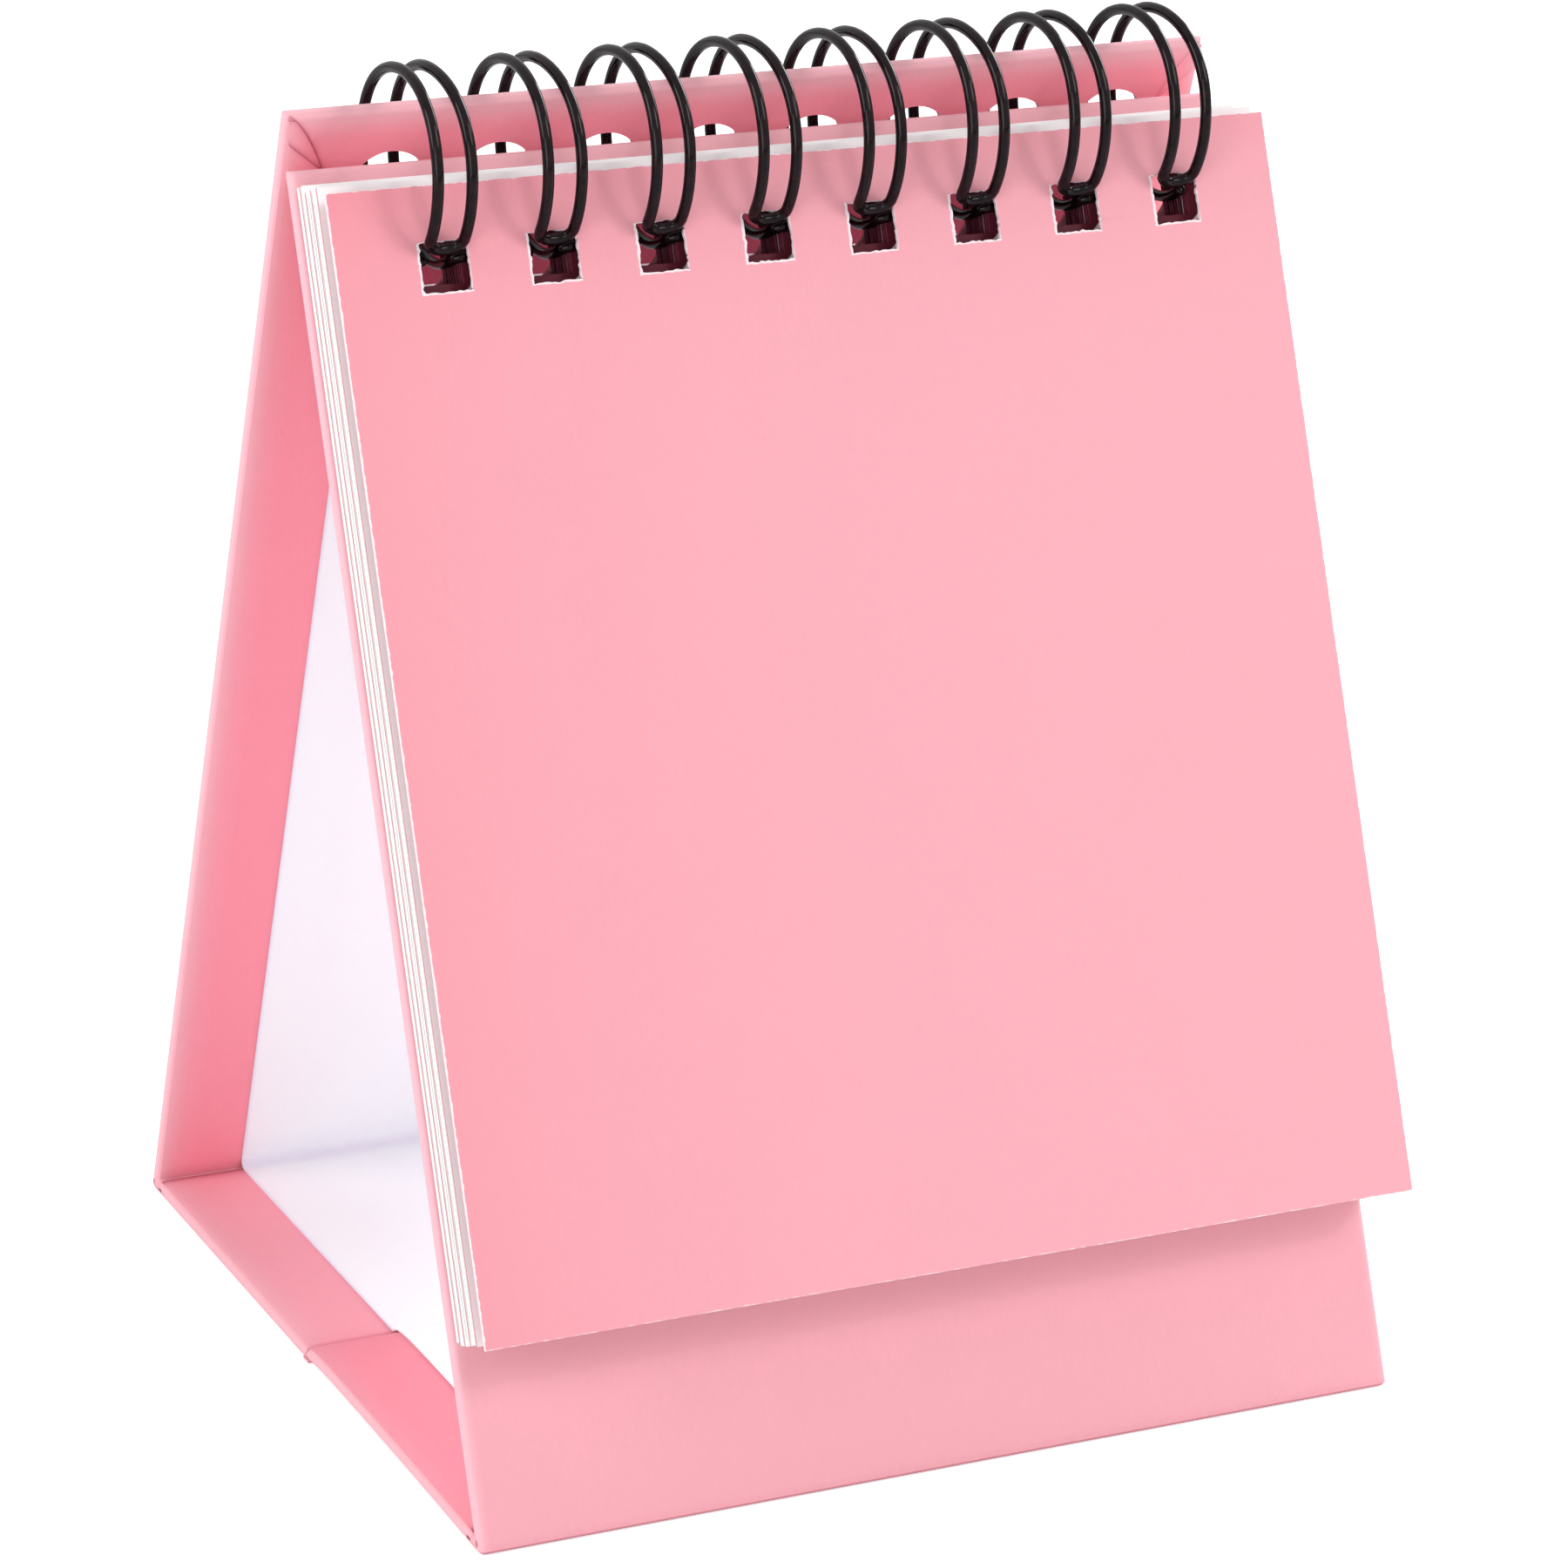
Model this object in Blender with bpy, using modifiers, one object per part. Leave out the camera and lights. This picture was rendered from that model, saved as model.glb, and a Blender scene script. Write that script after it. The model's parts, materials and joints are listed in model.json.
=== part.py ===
"""A tent-shaped desk calendar: paper-wrapped boards, a folding base, a twin-loop wire comb, leaves and a cover.

Metres, +Z up, the front towards -Y. The origin is on the table under the middle of the calendar.
Each flat piece is made in a panel frame: X across, Y along the sheet, Z out of its outer face.
"""

import math

import bmesh
import bpy
import numpy as np
from mathutils import Matrix, Vector

# Boards and their paper
BOARD_WIDTH = 0.0750
BOARD_LENGTH = 0.1000
BASE_DEPTH = 0.0690
GREYBOARD = 0.0008
PAPER = 0.0002
GLUE_GAP = 0.00003
EDGE_ROUNDING = 0.00045
EDGE_STEPS = 3
TURN_IN_SIDE = 0.0072
TURN_IN_FRONT_HALF = 0.0086
TURN_IN_TOP = 0.0130
LINER = 0.00017
LINER_EDGE_GAP = 0.0003

# How the boards meet at the top and at the creases
TOP_LAP = 0.0042
TOP_GAP = 0.0008
CREASE_GAP = 0.00006
CORNER_GAP = 0.0003
MID_CREASE = 0.0012
SOFT_ZONE = 0.0095
CREASE_ROUNDING = 0.00025
CREASE_STEPS = 5
STRIP_BASE_GAP = 0.00015
STRIP_BOARD_GAP = 0.000075
CREASE_AXIS_INSIDE = 0.00012

# Punched holes in the boards
BOARD_HOLE = 0.0060
BOARD_HOLE_BELOW_TOP = 0.0066
BOARD_HOLE_SIDES = 20
PUNCH_CLEARANCE = 0.0001

# Wire comb
LOOPS = 8
LOOP_PITCH = 0.0254 / 3
WIRE = 0.0009
RING_RADIUS = 0.0074
RING_AHEAD = 0.00285
RING_BELOW_TOP = 0.00054
TWIN_SPACING = 0.0024
WIRE_BEND = 0.0009
WIRE_BEND_STEPS = 3
TIP_STRAIGHT = 0.00018
SEAM_GAP = 0.00055
SPINE_GAP = 0.00009
POINTS_PER_LOOP = 24
COMB_SHIFT = 0.00075

# Leaves and cover
LEAVES = 12
LEAF = 0.0002
LEAF_GAP = 0.00011
STACK_GAP = 0.00025
STACK_SPLIT = 0.0001
LEAVES_BEHIND_SPLIT = 7
COVER = 0.0003
COVER_GAP = 0.00059
SHEET_WIDTH = 0.0759
SHEET_LENGTH = 0.0824
SHEET_HOLE_WIDTH = 0.0037
SHEET_HOLE_HEIGHT = 0.00363
SHEET_HOLE_BELOW_TOP = 0.00408
LEAF_RISE = 0.00095
HANG_GAP = 0.00015

# How far a cutter reaches past the wall that it cuts, and the size at which an axis is drawn
REACH = 0.001
AXIS_MARK = 0.004

PANEL = GREYBOARD + 2 * PAPER
BOARD_X = -(COMB_SHIFT + (SHEET_WIDTH - BOARD_WIDTH) / 2) / 2
COMB_X = BOARD_X + COMB_SHIFT
HOLE_XS = [COMB_X + (i - (LOOPS - 1) / 2) * LOOP_PITCH for i in range(LOOPS)]


def board_leans():
    """Lean of the front and the back board, from the triangle of the base and the two boards."""
    front = math.hypot(BOARD_LENGTH, PANEL)
    back = math.hypot(BOARD_LENGTH - TOP_LAP, PANEL + TOP_GAP)
    at_front = math.acos((front**2 + BASE_DEPTH**2 - back**2) / (2 * front * BASE_DEPTH))
    at_back = math.acos((back**2 + BASE_DEPTH**2 - front**2) / (2 * back * BASE_DEPTH))
    front_lean = math.pi / 2 - at_front - math.atan2(PANEL, BOARD_LENGTH)
    back_lean = math.pi / 2 - at_back - math.atan2(PANEL + TOP_GAP, BOARD_LENGTH - TOP_LAP)
    return front_lean, back_lean


FRONT_LEAN, BACK_LEAN = board_leans()


def panel_frame(foot_y, along, outward, origin_x=0.0):
    """World matrix of a panel frame whose Y runs along the sheet and whose Z leaves its outer face."""
    along, outward = Vector(along), Vector(outward)
    matrix = Matrix((along.cross(outward), along, outward)).transposed().to_4x4()
    matrix.translation = (origin_x, foot_y, 0)
    return matrix


FRONT = panel_frame(
    -BASE_DEPTH / 2,
    (0, math.sin(FRONT_LEAN), math.cos(FRONT_LEAN)),
    (0, -math.cos(FRONT_LEAN), math.sin(FRONT_LEAN)),
)
BACK = panel_frame(
    BASE_DEPTH / 2,
    (0, -math.sin(BACK_LEAN), math.cos(BACK_LEAN)),
    (0, math.cos(BACK_LEAN), math.sin(BACK_LEAN)),
)
BASE_FRONT = panel_frame(-BASE_DEPTH / 2, (0, 1, 0), (0, 0, -1))
BASE_REAR = panel_frame(BASE_DEPTH / 2, (0, -1, 0), (0, 0, -1))

RING_CENTRE = FRONT @ Vector((0, BOARD_LENGTH - RING_BELOW_TOP, RING_AHEAD))


def crease_axis(panel):
    """Where the inner face of a board meets the inner face of the base, just inside both."""
    inside = PANEL + CREASE_AXIS_INSIDE
    foot = panel @ Vector((0, 0, -inside))
    along = panel.to_3x3() @ Vector((0, 1, 0))
    return foot + along * (inside - foot.z) / along.z


FRONT_CREASE = crease_axis(FRONT)
REAR_CREASE = crease_axis(BACK)


def clear_scene():
    for old in list(bpy.data.objects):
        bpy.data.objects.remove(old, do_unlink=True)


def collection(name):
    made = bpy.data.collections.new(name)
    bpy.context.scene.collection.children.link(made)
    return made


def material(name, colour, roughness, metallic=0.0):
    made = bpy.data.materials.new(name)
    made.use_nodes = True
    shader = made.node_tree.nodes["Principled BSDF"]
    shader.inputs["Base Color"].default_value = (*colour, 1)
    shader.inputs["Roughness"].default_value = roughness
    shader.inputs["Metallic"].default_value = metallic
    made.diffuse_color = (*colour, 1)
    return made


def move_to(obj, home):
    for old in list(obj.users_collection):
        old.objects.unlink(obj)
    home.objects.link(obj)


def pivot(name, place, parent=None):
    """An empty on a joint's axis."""
    made = bpy.data.objects.new(name, None)
    made.empty_display_size = AXIS_MARK
    PART.objects.link(made)
    made.location = place
    if parent:
        made.parent = parent
        made.location = Vector(place) - parent.matrix_world.translation
    bpy.context.view_layer.update()
    return made


def finish(obj, frame, look, carrier):
    """Puts a piece made in its panel frame in the world, on the empty that carries it."""
    obj.matrix_world = frame
    if carrier:
        obj.parent = carrier
        obj.matrix_parent_inverse = carrier.matrix_world.inverted()
    obj.data.materials.clear()
    obj.data.materials.append(look)
    move_to(obj, PART)
    return obj


def block(name, low, high):
    """A box between two corners of the frame that it is made in."""
    bpy.ops.mesh.primitive_cube_add(size=1)
    obj = bpy.context.object
    obj.name = obj.data.name = name
    low, high = Vector(low), Vector(high)
    size = high - low
    obj.data.transform(Matrix.Translation((low + high) / 2) @ Matrix.Diagonal((*size, 1)))
    return obj


def cutter(obj, frame):
    obj.matrix_world = frame
    obj.hide_render = True
    obj.display_type = "WIRE"
    move_to(obj, CUTTERS)
    return obj


def cut(obj, tool, name):
    boolean = obj.modifiers.new(name, "BOOLEAN")
    boolean.operation = "DIFFERENCE"
    boolean.solver = "EXACT"
    boolean.object = tool


def round_wrapped_edges(obj, has_top):
    """Rounds the edges that the paper goes round: both sides and, on a leaning board, the top."""
    mesh = bmesh.new()
    mesh.from_mesh(obj.data)
    weight = mesh.edges.layers.float.new("bevel_weight_edge")
    top = max(corner.co.y for corner in mesh.verts)
    for edge in mesh.edges:
        first, second = (corner.co for corner in edge.verts)
        runs_along = abs(first.y - second.y) > PANEL
        across_top = has_top and first.y == second.y == top
        edge[weight] = float(runs_along or across_top)
    mesh.to_mesh(obj.data)
    mesh.free()
    bevel = obj.modifiers.new("rounding", "BEVEL")
    bevel.limit_method = "WEIGHT"
    bevel.width = EDGE_ROUNDING
    bevel.segments = EDGE_STEPS


def punch(name, frame, diameter):
    """One cutter for the row of round holes through a leaning board."""
    across = 1 if frame.col[0].x > 0 else -1
    mesh = bmesh.new()
    for hole_x in HOLE_XS:
        place = Vector((across * hole_x, BOARD_LENGTH - BOARD_HOLE_BELOW_TOP, -PANEL / 2))
        bmesh.ops.create_cone(
            mesh,
            cap_ends=True,
            segments=BOARD_HOLE_SIDES,
            radius1=diameter / 2,
            radius2=diameter / 2,
            depth=PANEL + 2 * REACH,
            matrix=Matrix.Translation(place),
        )
    data = bpy.data.meshes.new(name)
    mesh.to_mesh(data)
    mesh.free()
    obj = bpy.data.objects.new(name, data)
    bpy.context.scene.collection.objects.link(obj)
    return cutter(obj, frame)


def board_centre(frame):
    """X of the boards' middle in a panel frame, which may look along or against the world's X."""
    return BOARD_X if frame.col[0].x > 0 else -BOARD_X


def wrap(name, frame, start, end, turn_in, carrier, top_turn_in=None):
    """The cover paper of one board: an outer sheet, its folded edges and the turn-ins on the inner face."""
    middle = board_centre(frame)
    side = BOARD_WIDTH / 2
    has_top = top_turn_in is not None
    obj = block(name, (middle - side, start, -PANEL), (middle + side, end, 0))
    round_wrapped_edges(obj, has_top)
    room_end = end - PAPER if has_top else end + REACH
    room = block(
        f"{name}_board_room",
        (middle - side + PAPER, start - REACH, -PANEL + PAPER),
        (middle + side - PAPER, room_end, -PAPER),
    )
    cut(obj, cutter(room, frame), "board_room")
    window_end = end - top_turn_in if has_top else end + REACH
    window = block(
        f"{name}_window",
        (middle - side + turn_in, start - REACH, -PANEL - REACH),
        (middle + side - turn_in, window_end, -PANEL / 2),
    )
    cut(obj, cutter(window, frame), "window")
    if has_top:
        cut(obj, punch(f"{name}_holes", frame, BOARD_HOLE), "holes")
    return finish(obj, frame, PINK_PAPER, carrier)


def board(name, frame, start, end, carrier, punched=False):
    """The greyboard inside a wrap."""
    middle = board_centre(frame)
    side = BOARD_WIDTH / 2 - PAPER - GLUE_GAP
    obj = block(
        name,
        (middle - side, start, -PANEL + PAPER + GLUE_GAP),
        (middle + side, end, -PAPER - GLUE_GAP),
    )
    if punched:
        cut(obj, punch(f"{name}_holes", frame, BOARD_HOLE + 2 * PUNCH_CLEARANCE), "holes")
    return finish(obj, frame, GREYBOARD_LOOK, carrier)


def liner(name, frame, start, end, turn_in, carrier):
    """The white sheet that lines the inner face between the turn-ins."""
    middle = board_centre(frame)
    side = BOARD_WIDTH / 2 - turn_in - LINER_EDGE_GAP
    obj = block(name, (middle - side, start, -PANEL), (middle + side, end, -PANEL + LINER))
    return finish(obj, frame, WHITE_PAPER, carrier)


def leaning_start(lean):
    """Where a leaning board starts, so that its inner corner clears the paper under it."""
    return (PAPER + CREASE_GAP + PANEL * math.sin(lean)) / math.cos(lean)


def leaning_panel(prefix, frame, lean, carrier):
    """The greyboard, wrap and liner of the front or the back board."""
    start = leaning_start(lean)
    board(
        f"{prefix}_board",
        frame,
        start + CORNER_GAP,
        BOARD_LENGTH - PAPER - GLUE_GAP,
        carrier,
        punched=True,
    )
    wrap(f"{prefix}_wrap", frame, start, BOARD_LENGTH, TURN_IN_SIDE, carrier, TURN_IN_TOP)
    liner_end = BOARD_LENGTH - TURN_IN_TOP - LINER_EDGE_GAP
    liner(f"{prefix}_liner", frame, start + CORNER_GAP, liner_end, TURN_IN_SIDE, carrier)


def base_start(lean):
    """Where a half of the base starts, clear of the inner face of the board that stands on its crease."""
    return (PANEL + PANEL * math.sin(lean)) / math.cos(lean) + CORNER_GAP


def base_panel(prefix, frame, lean, turn_in, carrier):
    """The greyboard, wrap and liner of one half of the base, soft near the middle crease."""
    start = base_start(lean)
    end = BASE_DEPTH / 2 - MID_CREASE / 2
    board(f"{prefix}_board", frame, start + CORNER_GAP, BASE_DEPTH / 2 - SOFT_ZONE, carrier)
    wrap(f"{prefix}_wrap", frame, start, end, turn_in, carrier)
    liner(f"{prefix}_liner", frame, start + CORNER_GAP, end - LINER_EDGE_GAP, turn_in, carrier)


def strip(name, outline, carrier):
    """A strip of cover paper along a crease: its outline in the YZ plane, drawn across the boards' width."""
    curve = bpy.data.curves.new(name, "CURVE")
    curve.dimensions = "2D"
    curve.fill_mode = "BOTH"
    curve.extrude = BOARD_WIDTH / 2
    spline = curve.splines.new("POLY")
    spline.points.add(len(outline) - 1)
    for point, (y, z) in zip(spline.points, outline):
        point.co = (y, z, 0, 1)
    spline.use_cyclic_u = True
    obj = bpy.data.objects.new(name, curve)
    bpy.context.scene.collection.objects.link(obj)
    across = Matrix(((0, 0, 1, 0), (1, 0, 0, 0), (0, 1, 0, 0), (0, 0, 0, 1)))
    return finish(obj, Matrix.Translation((BOARD_X, 0, 0)) @ across, PINK_PAPER, carrier)


def corner_strip(name, panel, lean, carrier):
    """The paper that goes round the outer corner between the base and a leaning board."""
    toward = -1 if panel.translation.y > 0 else 1
    corner = Vector((panel.translation.y, 0))
    up = Vector((toward * math.sin(lean), math.cos(lean)))
    inward = Vector((toward, 0))
    base_end = corner + inward * (base_start(lean) - STRIP_BASE_GAP)
    board_end = corner + up * (leaning_start(lean) - STRIP_BOARD_GAP)
    turn = math.pi / 2 + lean
    reach = CREASE_ROUNDING / math.tan((math.pi - turn) / 2)
    centre = corner + inward * reach + Vector((0, CREASE_ROUNDING))
    outer = [base_end]
    for i in range(CREASE_STEPS + 1):
        angle = turn * i / CREASE_STEPS
        arm = Vector((-toward * math.sin(angle), -math.cos(angle)))
        outer.append(centre + arm * CREASE_ROUNDING)
    outer.append(board_end)
    across_board = Vector((toward * math.cos(lean), -math.sin(lean)))
    inner_corner = corner + inward * PAPER * (1 + math.sin(lean)) / math.cos(lean) + Vector((0, PAPER))
    inner = [board_end + across_board * PAPER, inner_corner, base_end + Vector((0, PAPER))]
    return strip(name, [tuple(point) for point in outer + inner], carrier)


def mid_strip(name, carrier):
    """The flat paper along the middle crease of the base."""
    half = MID_CREASE / 2 - CREASE_GAP
    outline = [(-half, 0), (half, 0), (half, PAPER), (-half, PAPER)]
    return strip(name, outline, carrier)


def stack_height(number):
    """How far a leaf's rear face lies ahead of the front board: leaf 1 is the foremost."""
    behind = LEAVES - number
    split = STACK_SPLIT if behind >= LEAVES_BEHIND_SPLIT else 0
    return STACK_GAP + behind * (LEAF + LEAF_GAP) + split


SPINE_HEIGHT = stack_height(1) + LEAF + SPINE_GAP + WIRE / 2
COVER_HEIGHT = SPINE_HEIGHT + WIRE / 2 + COVER_GAP


def ring_angle(height):
    """The angle round the ring, from its front, of the lower point that lies this far ahead of the board."""
    return FRONT_LEAN - math.acos((height - RING_AHEAD) / RING_RADIUS)


SPINE_ANGLE = ring_angle(SPINE_HEIGHT)
TIP_ANGLE = SPINE_ANGLE + 2 * math.asin((WIRE + SEAM_GAP) / 2 / RING_RADIUS)
TIP_ALONG = BOARD_LENGTH - RING_BELOW_TOP + RING_RADIUS * math.sin(TIP_ANGLE - FRONT_LEAN)
COVER_TOP = TIP_ALONG + WIRE / 2 + HANG_GAP + SHEET_HOLE_BELOW_TOP


def sheet(name, height, top, thickness, look, carrier):
    """A punched sheet, as one flat outline with square holes in it."""
    curve = bpy.data.curves.new(name, "CURVE")
    curve.dimensions = "2D"
    curve.fill_mode = "BOTH"
    curve.extrude = thickness / 2

    def rectangle(middle_x, width, low, high):
        spline = curve.splines.new("POLY")
        spline.points.add(3)
        left, right = middle_x - width / 2, middle_x + width / 2
        corners = ((left, low), (right, low), (right, high), (left, high))
        for point, corner in zip(spline.points, corners):
            point.co = (*corner, 0, 1)
        spline.use_cyclic_u = True

    rectangle(COMB_X, SHEET_WIDTH, top - SHEET_LENGTH, top)
    hole_top = top - SHEET_HOLE_BELOW_TOP
    for hole_x in HOLE_XS:
        rectangle(hole_x, SHEET_HOLE_WIDTH, hole_top - SHEET_HOLE_HEIGHT, hole_top)
    obj = bpy.data.objects.new(name, curve)
    bpy.context.scene.collection.objects.link(obj)
    middle_height = Matrix.Translation((0, 0, height + thickness / 2))
    return finish(obj, FRONT @ middle_height, look, carrier)


def corner_bend(centre, start, end, radius):
    """Points of a quarter bend in the unrolled ring, without its ends."""
    points = []
    for i in range(1, WIRE_BEND_STEPS + 1):
        angle = math.radians(start + (end - start) * i / (WIRE_BEND_STEPS + 1))
        points.append((centre[0] + radius * math.cos(angle), centre[1] + radius * math.sin(angle)))
    return points


def unrolled_wire():
    """The comb's one wire, flat: x across, and the distance round the ring from the spine to the tips."""
    length = RING_RADIUS * (2 * math.pi - (TIP_ANGLE - SPINE_ANGLE))
    tip_bend = (TWIN_SPACING - TIP_STRAIGHT) / 2
    straight = np.linspace(WIRE_BEND, length - tip_bend, POINTS_PER_LOOP)
    points = []
    for number, middle in enumerate(HOLE_XS):
        left, right = middle - TWIN_SPACING / 2, middle + TWIN_SPACING / 2
        if number == 0:
            points.append((left, 0.0))
        else:
            points.append((left - WIRE_BEND, 0.0))
            points += corner_bend((left - WIRE_BEND, WIRE_BEND), -90, 0, WIRE_BEND)
        points += [(left, along) for along in straight]
        points += corner_bend((left + tip_bend, length - tip_bend), 180, 90, tip_bend)
        points.append((left + tip_bend, length))
        points.append((right - tip_bend, length))
        points += corner_bend((right - tip_bend, length - tip_bend), 90, 0, tip_bend)
        points += [(right, along) for along in straight[::-1]]
        if number == LOOPS - 1:
            points.append((right, 0.0))
        else:
            points += corner_bend((right + WIRE_BEND, WIRE_BEND), 180, 270, WIRE_BEND)
            points.append((right + WIRE_BEND, 0.0))
    return points


def rolled(point):
    """A point of the unrolled wire on the ring, from the ring's centre."""
    angle = SPINE_ANGLE - point[1] / RING_RADIUS
    return Vector((point[0], -RING_RADIUS * math.cos(angle), RING_RADIUS * math.sin(angle)))


def least_gap(points):
    """The least clear distance between two stretches of the wire that aren't neighbours."""
    places = np.array(points)
    middles = np.concatenate([places, (places[1:] + places[:-1]) / 2])
    steps = np.linalg.norm(np.diff(places, axis=0), axis=1)
    travelled = np.concatenate([[0], np.cumsum(steps)])
    travelled = np.concatenate([travelled, (travelled[1:] + travelled[:-1]) / 2])
    apart = np.linalg.norm(middles[:, None] - middles[None], axis=2)
    neighbours = np.abs(travelled[:, None] - travelled[None]) < 2 * TWIN_SPACING
    return apart[~neighbours].min() - WIRE


def wire_comb(carrier):
    """The twin-loop comb: one wire that winds out and back through each hole and along the spine."""
    points = [rolled(point) for point in unrolled_wire()]
    curve = bpy.data.curves.new("wire_comb", "CURVE")
    curve.dimensions = "3D"
    curve.bevel_depth = WIRE / 2
    curve.bevel_resolution = 1
    curve.use_fill_caps = True
    spline = curve.splines.new("POLY")
    spline.points.add(len(points) - 1)
    for point, place in zip(spline.points, points):
        point.co = (*place, 1)
    obj = bpy.data.objects.new("wire_comb", curve)
    bpy.context.scene.collection.objects.link(obj)
    print(f"least gap of the wire to itself: {1000 * least_gap(points):.2f} mm")
    return finish(obj, Matrix.Translation(RING_CENTRE), BLACK_WIRE, carrier)


clear_scene()
PART = collection("desk_calendar")
CUTTERS = collection("cutters")
PINK_PAPER = material("pink_paper", (0.95, 0.40, 0.46), 0.7)
PINK_COVER = material("pink_cover", (0.97, 0.42, 0.48), 0.6)
WHITE_PAPER = material("white_paper", (0.93, 0.91, 0.95), 0.7)
GREYBOARD_LOOK = material("greyboard", (0.42, 0.38, 0.36), 0.9)
BLACK_WIRE = material("black_wire", (0.012, 0.010, 0.012), 0.25, 0.3)

# The standing front, with its half of the base
leaning_panel("front", FRONT, FRONT_LEAN, None)
front_fold = pivot("front_crease_axis", FRONT_CREASE)
base_panel("base_front", BASE_FRONT, FRONT_LEAN, TURN_IN_FRONT_HALF, front_fold)
corner_strip("crease_front", FRONT, FRONT_LEAN, front_fold)

# The back, which swings on the ring, with its half of the base
back_swing = pivot("ring_axis", RING_CENTRE)
leaning_panel("back", BACK, BACK_LEAN, back_swing)
rear_fold = pivot("rear_crease_axis", REAR_CREASE, back_swing)
base_panel("base_rear", BASE_REAR, BACK_LEAN, TURN_IN_SIDE, rear_fold)
corner_strip("crease_rear", BACK, BACK_LEAN, rear_fold)
mid_strip("crease_mid", rear_fold)

# The leaves, the comb and the cover, each turning on the ring and carried by what lies behind it
behind = None
for leaf_number in range(LEAVES, 0, -1):
    behind = pivot(f"leaf_{leaf_number:02d}_swing", RING_CENTRE, behind)
    sheet(
        f"leaf_{leaf_number:02d}",
        stack_height(leaf_number),
        COVER_TOP + LEAF_RISE,
        LEAF,
        WHITE_PAPER,
        behind,
    )
comb_swing = pivot("comb_swing", RING_CENTRE, behind)
wire_comb(comb_swing)
cover_swing = pivot("cover_swing", RING_CENTRE, comb_swing)
sheet("cover", COVER_HEIGHT, COVER_TOP, COVER, PINK_COVER, cover_swing)
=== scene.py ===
"""Dresses the desk calendar: wrapped boards, lined base, wire comb, leaves and cover. Metres, +Z up."""

import json
import math

import bmesh
import bpy
import numpy as np
from mathutils import Matrix, Vector

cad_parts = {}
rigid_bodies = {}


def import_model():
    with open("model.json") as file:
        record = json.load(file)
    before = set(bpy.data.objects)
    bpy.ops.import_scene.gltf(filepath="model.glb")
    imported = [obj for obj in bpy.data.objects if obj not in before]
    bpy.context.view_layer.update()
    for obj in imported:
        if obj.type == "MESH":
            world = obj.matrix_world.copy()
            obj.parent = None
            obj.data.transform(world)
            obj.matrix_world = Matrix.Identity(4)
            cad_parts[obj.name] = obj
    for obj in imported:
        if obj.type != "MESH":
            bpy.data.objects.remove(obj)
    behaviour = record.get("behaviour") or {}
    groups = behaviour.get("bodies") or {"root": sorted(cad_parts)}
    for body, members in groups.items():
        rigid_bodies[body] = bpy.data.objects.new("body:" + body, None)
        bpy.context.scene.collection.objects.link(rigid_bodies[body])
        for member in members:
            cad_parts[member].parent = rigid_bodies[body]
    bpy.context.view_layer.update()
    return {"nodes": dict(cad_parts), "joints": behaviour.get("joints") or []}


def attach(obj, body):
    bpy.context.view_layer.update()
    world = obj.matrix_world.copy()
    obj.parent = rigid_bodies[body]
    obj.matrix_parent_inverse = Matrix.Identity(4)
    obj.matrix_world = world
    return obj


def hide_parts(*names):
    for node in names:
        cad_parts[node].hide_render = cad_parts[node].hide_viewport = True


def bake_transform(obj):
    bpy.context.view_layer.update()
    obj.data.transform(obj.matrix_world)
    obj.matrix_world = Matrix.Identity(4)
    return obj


for old in list(bpy.data.objects):
    bpy.data.objects.remove(old)
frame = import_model()

# Wrapped boards, front and back
# Each is a greyboard with pink cover paper folded round its sides and top, and punched for the comb.
# The paper's turned-in edges lie on the inner face, mitred at the two top corners.
MM = 0.001
EDGE_ROUND = 0.45 * MM
EDGE_COLUMNS = np.array([0.9, 2.5]) * MM
PLAIN_MARGIN = 6 * MM
FOOT_ROWS = np.array([0.2, 0.6]) * MM
FLAP = 0.15 * MM
FLAP_WIDTH = 12 * MM
FLAP_EDGE = 0.25 * MM
FLAP_START = 0.1 * MM
TOP_FLAP_SINK = 0.02 * MM
TUCK_SINK = 0.04 * MM
EDGE_FOLLOW = 1.15
FLAP_SHORT_OF_TOP = 0.5 * MM
FLAP_SHORT_OF_MID = 0.06 * MM
FLAP_FOOT_ROWS = np.array([0.2, 0.5, 1.1, 2.0]) * MM
TOP_FLAP_LENGTH = 16.2 * MM
MITRE_REACH = 3.28 * MM
MITRE_DEPTH = 4.66 * MM
CURL_ROLL = 0.6 * MM
CURL_CENTRE = 2.4 * MM
CURL_REACH = 2.6 * MM
BACK_CURL = 0.13 * MM
TUCK_START = np.array([0.15, 0.2]) * MM
TUCK_TIP = np.array([3.45, 4.9]) * MM
TUCK_HEEL = np.array([0.55, 2.45]) * MM
BOARD_HOLE_RADIUS = 3.0 * MM
BOARD_HOLE_BELOW_TOP = 6.6 * MM
LOOP_PITCH = 25.4 * MM / 3
LOOPS = 8
TABLE_CLEARANCE = 0.36 * MM
WRAP_PINK = (0.840, 0.382, 0.440)
# Paler pink along the rounded edges, and painted light on the turn-ins beside the board's edges and top.
RUBBED_AND_LIT_PINK = (0.860, 0.465, 0.520)
# Painted shade: the turn-ins are the same paper as the wrap, given a deeper, more saturated pink for the
# pink-lit shade inside.
TURN_IN_SHADED_PINK = (0.955, 0.300, 0.375)
# Painted shade: the deep maroon blended in for painted contact shadows, fold lines and shaded corners.
PAINTED_SHADE_MAROON = (0.42, 0.045, 0.095)
GREY_PULP = (0.36, 0.31, 0.30)
EDGE_PALE_REACH = 0.9 * MM
FLAP_LIGHT_REACH = 2.4 * MM
TOP_FLAP_LIGHT_REACH = 2.2 * MM
TOP_FLAP_SHADE = (0, 0.15, 0.15, 0.95)
TOP_FLAP_SHADE_AT = np.array([1, 3.5, 9, 11]) * MM
FOOT_SHADE_REACH = 0.18 * MM
FLAP_FOOT_SHADE_REACH = 0.4 * MM
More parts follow.
